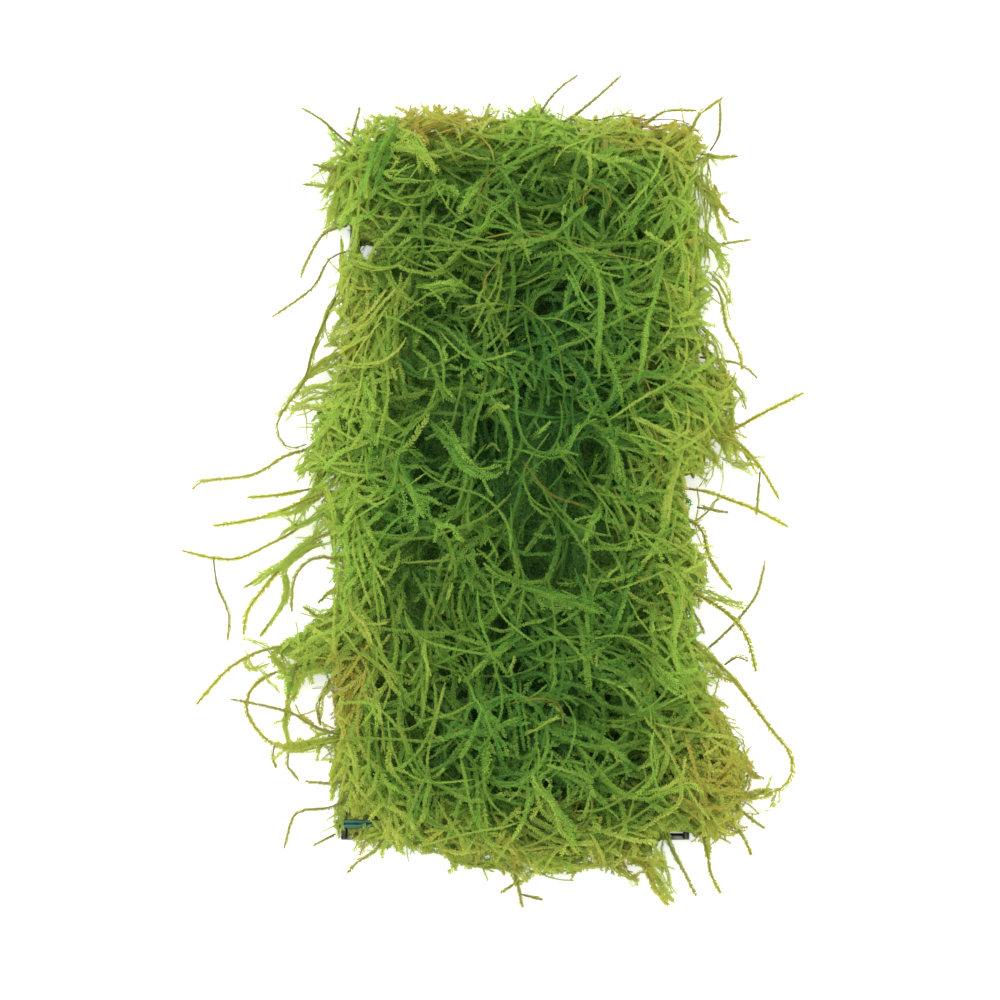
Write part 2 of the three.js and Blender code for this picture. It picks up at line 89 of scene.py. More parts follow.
def add_node(tree, kind, settings=None, **links):
    """Adds a node with its settings, and values or sockets for its inputs by their names."""
    node = tree.nodes.new(kind)
    for key, value in (settings or {}).items():
        setattr(node, key, value)
    for key, value in links.items():
        socket = node.inputs[key.replace("_", " ")]
        if isinstance(value, bpy.types.NodeSocket):
            tree.links.new(value, socket)
        else:
            socket.default_value = value
    return node


def set_ramp(node, stops):
    """Gives a colour ramp its stops: (place, sRGB hex)."""
    elements = node.color_ramp.elements
    for _ in range(len(stops) - 2):
        elements.new(0.5)
    for element, (place, code) in zip(elements, stops):
        element.position = place
        element.color = linear(code)


PLACE_DIGITS = 7


def new_mesh(name, shape):
    """Turns a finished bmesh into a mesh and frees it.

    Its corners are put in order by their places, each face starts at its first corner and the faces
    follow in order, because some of Blender's operators leave them in another order in each run.
    """
    corners = sorted(shape.verts, key=lambda vert: tuple(round(part, PLACE_DIGITS) for part in vert.co))
    for number, vert in enumerate(corners):
        vert.index = number
    faces = []
    for face in shape.faces:
        around = [vert.index for vert in face.verts]
        first = around.index(min(around))
        faces.append(around[first:] + around[:first])
    mesh = bpy.data.meshes.new(name)
    mesh.from_pydata([vert.co for vert in corners], [], sorted(faces))
    shape.free()
    return mesh


def link_piece(name, mesh, material):
    """Puts a finished mesh into the scene as a piece that rides on the mat."""
    piece = bpy.data.objects.new(name, mesh)
    mesh.materials.append(material)
    bpy.context.scene.collection.objects.link(piece)
    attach(piece, "root")
    return piece


floor_paint, floor_tree, floor_shader = new_material("matt_white_table")
floor_shader.inputs["Base Color"].default_value = linear(FLOOR_WHITE)
floor_shader.inputs["Roughness"].default_value = 0.9
floor_shader.inputs["Specular IOR Level"].default_value = 0.1
floor_shader.inputs["Emission Color"].default_value = (1, 1, 1, 1)
floor_shader.inputs["Emission Strength"].default_value = FLOOR_GLOW
floor_shape = bmesh.new()
bmesh.ops.create_grid(floor_shape, x_segments=1, y_segments=1, size=FLOOR_SIZE / 2)
bmesh.ops.translate(floor_shape, verts=floor_shape.verts, vec=(0, 0, -FLOOR_DROP))
floor_mesh = new_mesh("floor", floor_shape)
floor_mesh.materials.append(floor_paint)
floor = bpy.data.objects.new("floor", floor_mesh)
bpy.context.scene.collection.objects.link(floor)

world = bpy.data.worlds.new("soft_sky")
world.use_nodes = True
sky = world.node_tree.nodes["Background"]
sky.inputs["Color"].default_value = (1, 1, 1, 1)
sky.inputs["Strength"].default_value = SKY_STRENGTH
bpy.context.scene.world = world
bpy.context.scene.view_settings.view_transform = "Standard"

lamp_data = bpy.data.lights.new("large_lamp", "AREA")
lamp_data.size = LAMP_SIZE
lamp_data.energy = LAMP_WATTS
lamp = bpy.data.objects.new("large_lamp", lamp_data)
lamp.location = LAMP_PLACE
lamp.rotation_euler = (-LAMP_PLACE).to_track_quat("-Z", "Y").to_euler()
bpy.context.scene.collection.objects.link(lamp)

# Mesh plate: welded mesh of drawn stainless-steel wire, nine long wires on top of seventeen cross
# wires, fused where they cross, with the cut ends left as the shears left them.
MM = 0.001
COLUMN_PITCH = 9.5
ROW_PITCH = 10
COLUMNS = 8
ROWS = 16
WIRE = 1.5
WELD_SINK = 0.3
MESH_MIDDLE = -2.85
MESH_WIDTH = COLUMNS * COLUMN_PITCH + WIRE
MESH_LENGTH = ROWS * ROW_PITCH + WIRE
MESH_THICK = 2 * WIRE - WELD_SINK
WIRE_SIDES = 14
CUT_BEVEL = 0.15
NUGGET_RADIUS = 0.82
NUGGET_FLATNESS = 0.75
SHARP_ANGLE = 40


def add_wire(shape, length, turn, place):
    """One straight wire: a rod with its cut ends eased."""
    where = Matrix.Translation(Vector(place) * MM) @ turn
    radius = WIRE / 2 * MM
    rod = bmesh.ops.create_cone(
        shape, cap_ends=True, segments=WIRE_SIDES, radius1=radius, radius2=radius, depth=length * MM,
        matrix=where,
    )
    edges = dict.fromkeys(edge for vert in rod["verts"] for edge in vert.link_edges)
    rims = [edge for edge in edges if max(len(face.verts) for face in edge.link_faces) > 4]
    bmesh.ops.bevel(
        shape, geom=rims, offset=CUT_BEVEL * MM, segments=1, profile=0.5, affect="EDGES", material=-1
    )


steel_shape = bmesh.new()
along_x = Matrix.Rotation(math.radians(90), 4, "Y")
along_y = Matrix.Rotation(math.radians(90), 4, "X")
row_places = [(row - ROWS / 2) * ROW_PITCH for row in range(ROWS + 1)]
column_places = [MESH_MIDDLE + (i - COLUMNS / 2) * COLUMN_PITCH for i in range(COLUMNS + 1)]
for y in row_places:
    add_wire(steel_shape, MESH_WIDTH, along_x, (MESH_MIDDLE, y, WIRE / 2))
for x in column_places:
    add_wire(steel_shape, MESH_LENGTH, along_y, (x, 0, MESH_THICK - WIRE / 2))
flat_nugget = Matrix.Diagonal((1, 1, NUGGET_FLATNESS, 1))
for x in column_places:
    for y in row_places:
        where = Matrix.Translation(Vector((x, y, MESH_THICK / 2)) * MM) @ flat_nugget
        bmesh.ops.create_icosphere(steel_shape, subdivisions=1, radius=NUGGET_RADIUS * MM, matrix=where)
steel_mesh = new_mesh("welded_mesh", steel_shape)
steel_mesh.shade_smooth()
steel_mesh.set_sharp_from_angle(angle=math.radians(SHARP_ANGLE))

# Drawn stainless steel: fine scratches along the wire, and a mottled dark grey-green colour,
# painted darker than clean steel as the shade that the mesh lies in under the moss.
SCRATCH_WIDTH = 0.15
STEEL_MOTTLE_SIZE = 4.0


def link_shader(tree, shader, colour, rough, bump):
    """Leads the colour, the roughness and the bump of a surface to its shader."""
    tree.links.new(colour, shader.inputs["Base Color"])
    tree.links.new(rough.outputs["Result"], shader.inputs["Roughness"])
    tree.links.new(bump.outputs["Normal"], shader.inputs["Normal"])


drawn_steel, steel_tree, steel_shader = new_material("drawn_stainless_steel")
steel_place = add_node(steel_tree, "ShaderNodeTexCoord").outputs["Object"]
steel_mottle = add_node(
    steel_tree, "ShaderNodeTexNoise", Vector=steel_place, Scale=1 / (STEEL_MOTTLE_SIZE * MM), Detail=4.0
).outputs["Fac"]
# Painted shade: this colour ramp is kept dark, for the mesh lying in shade under the moss.
painted_shade_steel_colour = add_node(steel_tree, "ShaderNodeValToRGB", Fac=steel_mottle)
set_ramp(painted_shade_steel_colour, [(0.38, "33362b"), (0.55, "61655a"), (0.7, "878a80")])
scratches = add_node(
    steel_tree, "ShaderNodeTexNoise", Vector=steel_place, Scale=1 / (SCRATCH_WIDTH * MM), Detail=2.0
).outputs["Fac"]
steel_rough = add_node(steel_tree, "ShaderNodeMapRange", Value=scratches, To_Min=0.24, To_Max=0.5)
steel_bump = add_node(steel_tree, "ShaderNodeBump", Height=scratches, Strength=0.15, Distance=0.02 * MM)
link_shader(steel_tree, steel_shader, painted_shade_steel_colour.outputs["Color"], steel_rough, steel_bump)
steel_shader.inputs["Metallic"].default_value = 1.0
steel_piece = link_piece("welded_mesh", steel_mesh, drawn_steel)
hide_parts("mesh_plate")

# Ties: soft iron wire in a glossy dark green plastic coat, wound twice round the mesh in the last
# row of openings at each end, its first end turned up into the moss and its second tucked under.
GAP = 0.3
TIE_WIRE = 0.9
TIE_PITCH = 1.0
TIE_INSET = 3.9
TIE_SLACK = 0.5
TIE_END_RISE = 1.6
TIE_END_BACK = 3.0
TIE_END_LEAN = 1.5
TIE_CLEAR = 0.02
TIE_BEND_STEPS = 16
COAT_MOTTLE = 2.5
TIE_TOP = MESH_THICK + GAP + TIE_WIRE / 2
TIE_BOTTOM = TIE_WIRE / 2 + TIE_CLEAR
TIE_SIDE = MESH_WIDTH / 2 + GAP + TIE_WIRE / 2 + TIE_SLACK
TIE_END = MESH_MIDDLE + TIE_SIDE - TIE_END_BACK

# Extruded PVC: glossy and smooth, with a faint mottle where the coat is thicker or has been bent.
glossy_coat, coat_tree, coat_shader = new_material("green_pvc_coat")
coat_place = add_node(coat_tree, "ShaderNodeTexCoord").outputs["Object"]
mottle = add_node(
    coat_tree, "ShaderNodeTexNoise", Vector=coat_place, Scale=1 / (COAT_MOTTLE * MM), Detail=3.0
).outputs["Fac"]
coat_colour = add_node(coat_tree, "ShaderNodeValToRGB", Fac=mottle)
set_ramp(coat_colour, [(0.35, "073f31"), (0.65, "0d5c49")])
coat_rough = add_node(coat_tree, "ShaderNodeMapRange", Value=mottle, To_Min=0.18, To_Max=0.36)
coat_bump = add_node(coat_tree, "ShaderNodeBump", Height=mottle, Strength=0.2, Distance=0.03 * MM)
link_shader(coat_tree, coat_shader, coat_colour.outputs["Color"], coat_rough, coat_bump)


def tie_route(end_sign):
    """The tie's middle line: down from its raised end, then round the mesh's edges in half turns."""
    outer = end_sign * (MESH_LENGTH / 2 - TIE_INSET)
    inner = outer - TIE_PITCH
    middle = (TIE_TOP + TIE_BOTTOM) / 2
    half = (TIE_TOP - TIE_BOTTOM) / 2
    route = [(TIE_END, inner, TIE_TOP + TIE_END_RISE), (TIE_END - TIE_END_LEAN, inner, TIE_TOP)]
    for side, begin, end in ((-1, inner, inner), (1, inner, outer), (-1, outer, outer)):
        for step in range(TIE_BEND_STEPS + 1):
            share = step / TIE_BEND_STEPS
            reach = half * (math.sin(math.pi * share) - 1)
            lift = middle - side * half * math.cos(math.pi * share)
            across = MESH_MIDDLE + side * (TIE_SIDE + reach)
            route.append((across, begin + (end - begin) * share, lift))
    route.append((TIE_END, outer, TIE_BOTTOM))
    return route


def add_tie(name, node, end_sign):
    """A tie as a round wire along its route, with closed ends."""
    curve = bpy.data.curves.new(name, "CURVE")
    curve.dimensions = "3D"
    curve.bevel_depth = TIE_WIRE / 2 * MM
    curve.bevel_resolution = 4
    curve.use_fill_caps = True
    route = tie_route(end_sign)
    spline = curve.splines.new("POLY")
    spline.points.add(len(route) - 1)
    for point, place in zip(spline.points, route):
        point.co = (*(Vector(place) * MM), 1)
    holder = bpy.data.objects.new(name, curve)
    wire = bpy.data.meshes.new_from_object(holder)
    bpy.data.objects.remove(holder)
    wire.shade_smooth()
    piece = link_piece(name, wire, glossy_coat)
    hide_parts(node)


add_tie("near_coated_tie", "near_tie", -1)
add_tie("far_coated_tie", "far_tie", 1)

# Moss: its shape is taken from the pad itself. A ray straight down at each millimetre gives how
# high the moss stands there, and the cells that no ray meets give how far each place is inside.
CELL = 1.0
HALF_X, HALF_Y = 90, 110
RAY_START = 100
OVER_MESH = MESH_THICK + GAP
BESIDE_MESH = 0.6
EDGE_FALL = 4.5
FIELD_ROUNDS = 3
HOLLOW_ROUNDS = 90
HOLLOW_DEPTH = 3
HOLLOW_INSET = 6
pad_tree = BVHTree.FromObject(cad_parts["moss_pad"], bpy.context.evaluated_depsgraph_get())
grid_x = np.arange(-HALF_X, HALF_X + CELL, CELL)
grid_y = np.arange(-HALF_Y, HALF_Y + CELL, CELL)
top = np.zeros((len(grid_x), len(grid_y)))
for column, x in enumerate(grid_x):
    for row, y in enumerate(grid_y):
        met = pad_tree.ray_cast(Vector((x, y, RAY_START)) * MM, Vector((0, 0, -1)))[0]
        if met is not None:
            top[column, row] = met.z / MM
filled = top > 0
ringed = filled[2:, 1:-1] & filled[:-2, 1:-1] & filled[1:-1, 2:] & filled[1:-1, :-2]
rim = np.argwhere(filled & ~np.pad(ringed, 1))
away = np.zeros(top.shape)
nearest = np.zeros(top.shape, int)
for column in range(len(grid_x)):
    apart = np.hypot(column - rim[:, 0], np.arange(len(grid_y))[:, None] - rim[:, 1])
    nearest[column] = apart.argmin(1)
    away[column] = apart.min(1) * CELL
inset = np.where(filled, away, -away)
rim_height = top[rim[:, 0], rim[:, 1]]
top = np.where(filled, top, rim_height[nearest] * np.exp(-away / EDGE_FALL))


def blurred(field, rounds):
    """Evens out a field of values by rounds of averaging with its neighbours."""
    for _ in range(rounds):
        wide = np.pad(field, 1, mode="edge")
        around = wide[2:, 1:-1] + wide[:-2, 1:-1] + wide[1:-1, 2:] + wide[1:-1, :-2]
        field = (around + 2 * field) / 6
    return field


top = blurred(top, FIELD_ROUNDS)
inset = blurred(inset, FIELD_ROUNDS - 1)
hollow = np.clip((blurred(top, HOLLOW_ROUNDS) - top) / HOLLOW_DEPTH, 0, 1)
hollow *= np.clip((inset - HOLLOW_INSET) / HOLLOW_INSET, 0, 1)
slope_x, slope_y = np.gradient(inset)
cross, length_way = np.meshgrid(grid_x, grid_y, indexing="ij")
on_mesh = (np.abs(cross - MESH_MIDDLE) < MESH_WIDTH / 2) & (np.abs(length_way) < MESH_LENGTH / 2)
base = blurred(np.where(on_mesh, OVER_MESH, BESIDE_MESH), FIELD_ROUNDS - 1)

# Pits: round dark hollows between the shoots, each as (x, y, radius). The shoots bend round them.
PITS = [
    (-14, 71, 2.1), (-19.5, 62, 2.5), (-13, 58.5, 1.8), (0.5, 64.5, 2.1), (5, 60, 2.5), (3, 68, 2.1),
    (-22, 48, 2.3), (-12, 45.5, 1.8), (-21, 38, 2.1), (-16.5, 39, 1.8), (16, 62, 1.8), (19, 59, 2.1),
    (24, 67, 2.1), (26, 56.5, 1.8), (4, 39, 3.2), (31, 34.5, 1.8), (-7, 29, 2.1), (-15.5, 25, 2.1),
    (-23.5, 9, 2.3), (-21, 4.5, 3), (-24, -1, 2.3), (-8.5, 11.5, 1.8), (-9.5, 6.5, 2.5),
    (-17.5, -14.5, 2.1), (-21, -18.5, 2.3), (-6, -18, 1.8), (9.5, 21.5, 2.1), (29, 25.5, 2.3),
    (7, 16, 2.1), (9.5, 9, 1.8), (4.5, 6.5, 1.8), (14, 6, 3), (23.5, 1.5, 1.8), (1.5, -3.5, 1.8),
    (3.5, -7, 2.5), (0.5, -11.5, 2.1), (5, -16, 1.8), (17.5, -15, 2.5), (-6, -21, 1.8),
    (-17.5, -21.5, 1.8), (-26.5, -26.5, 1.8), (-34.5, -29, 2.1), (-23.5, -30, 1.8), (-5.5, -34, 2.3),
    (-14, -41.5, 1.8), (-18.5, -44.5, 2.1), (-33, -47.5, 2.1), (-30.5, -50.5, 1.8), (-14.5, -49.5, 2.3),
    (-12, -54.5, 1.8), (-26, -55.5, 2.1), (-20.5, -58, 2.1), (-21, -63.5, 2.5), (-33, -67.5, 1.8),
    (-2.5, -43.5, 1.8), (-6.5, -75, 1.8), (2, -21.5, 2.5), (17.5, -20, 2.3), (7.5, -33, 2.1),
    (26, -32, 2.1), (2, -48, 3), (18, -50, 1.8), (9, -53, 2.1), (18.5, -59, 1.8), (23.5, -63.5, 2.1),
    (4, -69.5, 1.8), (7, -71, 2.3), (11, -74.5, 1.8),
]
PIT_FALL = 1.5

# Places that stay bare: the corner where the tie shows, and notches and holes in the rim through
# which the table shows, each as (x, y, half width, half height).
CORNER = (-39.6, -34.8, -79.0, -76.2)
NOTCHES = [
    (42.3, -10.5, 2.7, 8.0), (37.1, -2.3, 1.9, 4.0), (40.0, -30.7, 3.2, 3.7), (47.2, -53.3, 2.4, 3.4),
    (38.5, -86.6, 6.6, 4.0), (-45.2, -0.5, 2.8, 1.9), (-46.6, -28.4, 3.2, 1.8), (-45.6, -44.6, 2.0, 2.0),
    (-44.8, -51.5, 1.6, 2.6), (-44.5, 37.4, 1.8, 2.6), (-43.4, 27.5, 1.4, 1.9), (-46.1, 24.7, 1.8, 1.8),
    (-45.3, 20.0, 1.4, 1.8), (-41.4, 58.6, 1.5, 3.6), (41.5, 38.9, 1.2, 3.5), (-22.0, -86.6, 5.0, 3.6),
    (-30.0, -86.0, 4.0, 2.6), (-14.0, -89.6, 3.6, 2.6), (2.0, -90.8, 5.0, 2.6), (14.0, -91.0, 5.0, 3.0),
    (-44.6, 57.5, 1.0, 3.8), (-37.0, 54.5, 1.5, 2.8), (-42.8, 36.0, 1.9, 1.9), (42.2, 73.5, 3.2, 4.0),
    (43.0, 61.5, 1.0, 3.2), (41.8, 52.0, 1.1, 2.6), (40.6, 29.4, 1.1, 2.2), (41.4, 70.0, 2.4, 4.5),
    (41.6, 63.0, 2.0, 4.0), (36.0, -83.6, 8.5, 3.2), (32.5, -80.6, 4.2, 1.7),
    (37.4, -8.6, 1.3, 2.8), (38.5, -14.2, 1.4, 2.6),
]


def bare(places, ragged=1.0):
    """Tells which places stay bare; ragged makes the notches and holes wider or narrower."""
    x, y = places[..., 0], places[..., 1]
    found = (x > CORNER[0]) & (x < CORNER[1]) & (y > CORNER[2]) & (y < CORNER[3])
    for middle_x, middle_y, wide, tall in NOTCHES:
        found |= ((x - middle_x) / wide) ** 2 + ((y - middle_y) / tall) ** 2 < ragged**2
    return found


pitted = np.zeros(top.shape)
for x, y, radius in PITS:
    apart = ((cross - x) ** 2 + (length_way - y) ** 2) / radius**2
    pitted = np.maximum(pitted, np.exp(-(apart**PIT_FALL)))
around_pitted = blurred(pitted, FIELD_ROUNDS)


def at(field, places):
    """A field's value at places given in millimetres."""
    column = np.clip((places[..., 0] + HALF_X) / CELL, 0, len(grid_x) - 1.001)
    row = np.clip((places[..., 1] + HALF_Y) / CELL, 0, len(grid_y) - 1.001)
    i, j = column.astype(int), row.astype(int)
    u, v = column - i, row - j
    lower = field[i, j] * (1 - u) + field[i + 1, j] * u
    upper = field[i, j + 1] * (1 - u) + field[i + 1, j + 1] * u
    return lower * (1 - v) + upper * v


# Moss leaf and stem: java moss has thin stems with two close rows of leaves about a millimetre
# long, each one cell thick and folded a little along its middle. One leaf is made here. The leaves
# of a shoot are smaller at both its ends and lie closer to the stem at its tip.
LEAF_WIDEST = 0.42
LEAF_HALF_WIDTH = 0.26
LEAF_FOLD = 0.07
LEAF_GAP, LEAF_GAP_GROWTH = 0.2, 0.42
LEAF_TURN = 0.16
LEAF_RISE, RISE_SCATTER = 0.12, 0.22
LEAF_SIZES = (0.78, 1.15)
TIP_SPREAD, SPREAD_GROWTH = 0.7, 3
END_LEAF, ROOT_GROWTH, TIP_GROWTH = 0.6, 5, 6
BARE_FADE = 0.15
STEM_STEP = 2.6
STEM_SIDES = 3
STEM_THINNING = 0.5
ROUTE_STEPS = 20
FINE_STEP = 0.05
LOWEST_LEAF = 0.06
LOWEST_STEM = 0.5
random = np.random.default_rng(20)

leaf_shape = bmesh.new()
foot = leaf_shape.verts.new((0, 0, 0))
wide = leaf_shape.verts.new((LEAF_WIDEST, LEAF_HALF_WIDTH, LEAF_FOLD))
point = leaf_shape.verts.new((1, 0, 0))
leaf_shape.faces.new((foot, point, wide))
bmesh.ops.mirror(leaf_shape, geom=leaf_shape.verts[:] + leaf_shape.faces[:], axis="Y", merge_dist=1e-4)
bmesh.ops.recalc_face_normals(leaf_shape, faces=leaf_shape.faces)
LEAF_CORNERS = np.array([v.co for v in leaf_shape.verts])
LEAF_FACES = np.array([[v.index for v in f.verts] for f in leaf_shape.faces])
leaf_shape.free()


def evenly(route):
    """A route with its points spread evenly along it, as many as every route has."""
    route = np.array(route, float)
    fine = []
    for i in range(len(route) - 1):
        around = [route[max(i - 1, 0)], route[i], route[i + 1], route[min(i + 2, len(route) - 1)]]
        for share in np.arange(0, 1, FINE_STEP):
            fine.append(bent(*around, share)[0])
    fine = np.array([*fine, route[-1]])
    far = np.concatenate([[0], np.cumsum(np.linalg.norm(np.diff(fine, axis=0), axis=1))])
    wanted = np.linspace(0, far[-1], ROUTE_STEPS + 1)
    return np.stack([np.interp(wanted, far, fine[:, k]) for k in range(fine.shape[1])], 1)


def bent(before, start, end, after, share):
    """Place and slope on the smooth curve from start to end, for a share of the way."""
    second = 2 * before - 5 * start + 4 * end - after
    third = 3 * start - before - 3 * end + after
    place = start + 0.5 * ((end - before) * share + second * share**2 + third * share**3)
    slope = 0.5 * ((end - before) + 2 * second * share + 3 * third * share**2)
    return place, slope


def unit(vectors):
    """Vectors made one long."""
    return vectors / np.maximum(np.linalg.norm(vectors, axis=-1, keepdims=True), 1e-9)


def frames(routes, which, share, roll):
    """Place on a shoot's route, with its forward, sideways and upward directions there."""
    step = share * ROUTE_STEPS
    i = np.minimum(step.astype(int), ROUTE_STEPS - 1)
    around = [routes[which, np.clip(i + k, 0, ROUTE_STEPS)] for k in (-1, 0, 1, 2)]
    place, slope = bent(*around, (step - i)[:, None])
    forward = unit(slope)
    flat = unit(np.cross(forward, (0, 0, 1)))
    above = np.cross(flat, forward)
    turn = roll[which][:, None]
    side = flat * np.cos(turn) + above * np.sin(turn)
    up = above * np.cos(turn) - flat * np.sin(turn)
    return place, forward, side, up


def repeated(counts):
    """For runs of the given lengths: which run each item is in, and its number within it."""
    which = np.repeat(np.arange(len(counts)), counts)
    starts = np.cumsum(counts) - counts
    return which, np.arange(len(which)) - starts[which]


def lengths_of(shoots):
    """How long each shoot is along its route."""
    return np.linalg.norm(np.diff(shoots["route"], axis=1), axis=2).sum(1)


# A shoot's colour is a place in a palette, whose material comes next: tone runs from brown to
# blue-green and light from shaded to fresh. A leaf covers a small spot there, a stem a smaller one.
DEEP = 6.0
TONE_SCATTER, LIGHT_SCATTER = 0.02, 0.03
TIP_TONE = 0.03
# Painted shade and light: leaves sunk under the top of the pad are set darker and bluer, and leaves that
# face upwards lighter, those facing down darker.
SUNK_TONE, SUNK_SHADE = 0.12, 0.45
RISING_LIGHT = 0.08
STEM_TONE, STEM_LIGHT = 0.03, 0.02
TONE_ENDS = (0.03, 0.97)
LIGHT_ENDS = (0.06, 0.94)
LEAF_SPOT = (0.08, 0.09)
STEM_SPOT = np.array([[-0.012, 0], [0, 0.014], [0.012, 0]])


def sunk_at(shoots, which, place):
    """How deep places on the shoots lie under the top of the pad, from 0 to 1."""
    return shoots["deep"][which] * np.clip((at(top, place) - place[:, 2]) / DEEP, 0, 1)


def leaves_for(shoots):
    """Corners, faces and palette places of all the leaves on some shoots."""
    spacing = (LEAF_GAP + LEAF_GAP_GROWTH * shoots["reach"]) / 2 * shoots["open"]
    which, number = repeated(np.maximum((lengths_of(shoots) / spacing).astype(int), 2))
    share = (number + 0.5) / np.bincount(which)[which]
    place, forward, side, up = frames(shoots["route"], which, share, shoots["roll"])
    way = np.where(number % 2, 1, -1)[:, None]
    count = len(which)
    spread = shoots["spread"][which] * np.clip(TIP_SPREAD + (1 - share) * SPREAD_GROWTH, 0, 1)
    spread = (spread + random.normal(0, LEAF_TURN, count))[:, None]
    rise = random.normal(LEAF_RISE, RISE_SCATTER, count)[:, None]
    outward = way * side * np.cos(rise) + up * np.sin(rise)
    direction = unit(forward * np.cos(spread) + outward * np.sin(spread))
    normal = unit(up - (up * direction).sum(1, keepdims=True) * direction)
    across = np.cross(normal, direction)
    grown = np.minimum(END_LEAF + share * ROOT_GROWTH, END_LEAF + (1 - share) * TIP_GROWTH)
    grown = np.clip(grown, 0, 1)
    grown *= np.clip((share - shoots["bare"][which]) / BARE_FADE + END_LEAF, END_LEAF, 1)
    longest = shoots["reach"][which] / np.sin(shoots["spread"][which])
    size = (longest * grown * random.uniform(*LEAF_SIZES, count))[:, None]
    x, y, z = LEAF_CORNERS.T
    corners = place[:, None] + size[:, None] * (
        direction[:, None] * x[:, None] + across[:, None] * y[:, None] + normal[:, None] * z[:, None]
    )
    sunk = sunk_at(shoots, which, place)
    tone = shoots["tone"][which] + random.normal(0, TONE_SCATTER, count)
    tone = tone - TIP_TONE * share + SUNK_TONE * sunk
    light = shoots["light"][which] + shoots["fresh"][which] * (share - 0.5)
    light += random.normal(0, LIGHT_SCATTER, count)
    light += RISING_LIGHT * outward[:, 2] - SUNK_SHADE * sunk
    faces = (LEAF_FACES[None] + 4 * np.arange(count)[:, None, None]).reshape(-1, 3)
    palette = np.stack([np.clip(tone, *TONE_ENDS), np.clip(light, *LIGHT_ENDS)], 1)
    spot = np.stack([y * LEAF_SPOT[0], (x - 0.5) * LEAF_SPOT[1]], 1)
    return corners.reshape(-1, 3), faces, (palette[:, None] + spot[None]).reshape(-1, 2)


def stems_for(shoots):
    """The same for the stems: three-sided rods that thin towards the tip, closed at both ends."""
    counts = np.maximum((lengths_of(shoots) / STEM_STEP).astype(int), 2) + 1
    which, number = repeated(counts)
    share = number / (counts[which] - 1)
    place, forward, side, up = frames(shoots["route"], which, share, shoots["roll"])
    thick = (shoots["stem"][which] * (1 - STEM_THINNING * share))[:, None]
    turns = [2 * math.pi * k / STEM_SIDES for k in range(STEM_SIDES)]
    rings = np.stack([place + thick * (side * math.cos(t) + up * math.sin(t)) for t in turns], 1)
    joined_on = np.flatnonzero(number < counts[which] - 1) * STEM_SIDES
    faces = []
    for k in range(STEM_SIDES):
        n = (k + 1) % STEM_SIDES
        faces.append(np.stack([joined_on + k, joined_on + n, joined_on + STEM_SIDES + n], 1))
        faces.append(np.stack([joined_on + k, joined_on + STEM_SIDES + n, joined_on + STEM_SIDES + k], 1))
    roots = np.flatnonzero(number == 0) * STEM_SIDES
    tips = np.flatnonzero(number == counts[which] - 1) * STEM_SIDES
    faces.append(np.stack([roots + 2, roots + 1, roots], 1))
    faces.append(np.stack([tips, tips + 1, tips + 2], 1))
    tone = np.clip(shoots["tone"][which] - STEM_TONE - shoots["grey"][which], *TONE_ENDS)
    light = shoots["light"][which] + shoots["fresh"][which] * (share - 0.5) + STEM_LIGHT
    # Painted shade: stems sunk under the top of the pad are set darker.
    light = np.clip(light - SUNK_SHADE * sunk_at(shoots, which, place), *LIGHT_ENDS)
    palette = np.stack([tone, light], 1)[:, None] + STEM_SPOT[None]
    return rings.reshape(-1, 3), np.concatenate(faces), palette.reshape(-1, 2)


# Java moss: wet, soft and slightly see-through, so that light from behind brightens it. Its colour
# is read from the leaf's place in a palette: brown, grey straw, olive, yellow-green, green and
# blue-green from left to right, and from shaded to fresh upwards. Its gloss changes with that place
# too, a few times along each leaf. That grain is set on the palette, so it has no size in
# millimetres.
MOSS_DARK = [
    (0.0, "3c2a0a"), (0.07, "3c2c0a"), (0.13, "42432a"), (0.22, "40390a"), (0.32, "3e480c"),
    (0.42, "36500d"), (0.62, "2b4f0f"), (0.8, "163f0e"), (1.0, "0a3320"),
]
MOSS_FRESH = [
    (0.0, "a3812c"), (0.07, "a3852e"), (0.13, "b6ba8e"), (0.22, "b49f3a"), (0.32, "bcb84a"),
    (0.42, "c6d25c"), (0.62, "a2cc4e"), (0.8, "66aa40"), (1.0, "3a9152"),
]
LIGHT_THROUGH = 0.42
PALETTE_GRAIN = 90.0
moss_leaf, moss_tree, moss_shader = new_material("java_moss")
palette_place = add_node(moss_tree, "ShaderNodeUVMap", {"uv_map": "OFBake"}).outputs["UV"]
palette_axes = add_node(moss_tree, "ShaderNodeSeparateXYZ", Vector=palette_place)
shaded = add_node(moss_tree, "ShaderNodeValToRGB", Fac=palette_axes.outputs["X"])
set_ramp(shaded, MOSS_DARK)
fresh = add_node(moss_tree, "ShaderNodeValToRGB", Fac=palette_axes.outputs["X"])
set_ramp(fresh, MOSS_FRESH)
moss_colour = add_node(moss_tree, "ShaderNodeMix", {"data_type": "RGBA"})
moss_tree.links.new(palette_axes.outputs["Y"], moss_colour.inputs["Factor"])
moss_tree.links.new(shaded.outputs["Color"], moss_colour.inputs["A"])
moss_tree.links.new(fresh.outputs["Color"], moss_colour.inputs["B"])
cells = add_node(moss_tree, "ShaderNodeTexNoise", Vector=palette_place, Scale=PALETTE_GRAIN, Detail=2.0)
moss_rough = add_node(moss_tree, "ShaderNodeMapRange", Value=cells.outputs["Fac"], To_Min=0.42, To_Max=0.68)
moss_tree.links.new(moss_colour.outputs["Result"], moss_shader.inputs["Base Color"])
moss_tree.links.new(moss_rough.outputs["Result"], moss_shader.inputs["Roughness"])
moss_shader.inputs["Specular IOR Level"].default_value = 0.22
see_through = add_node(moss_tree, "ShaderNodeBsdfTranslucent", Color=fresh.outputs["Color"])
both_ways = add_node(moss_tree, "ShaderNodeMixShader", Fac=LIGHT_THROUGH)
moss_tree.links.new(moss_shader.outputs["BSDF"], both_ways.inputs[1])
moss_tree.links.new(see_through.outputs["BSDF"], both_ways.inputs[2])
moss_tree.links.new(both_ways.outputs["Shader"], moss_tree.nodes["Material Output"].inputs["Surface"])


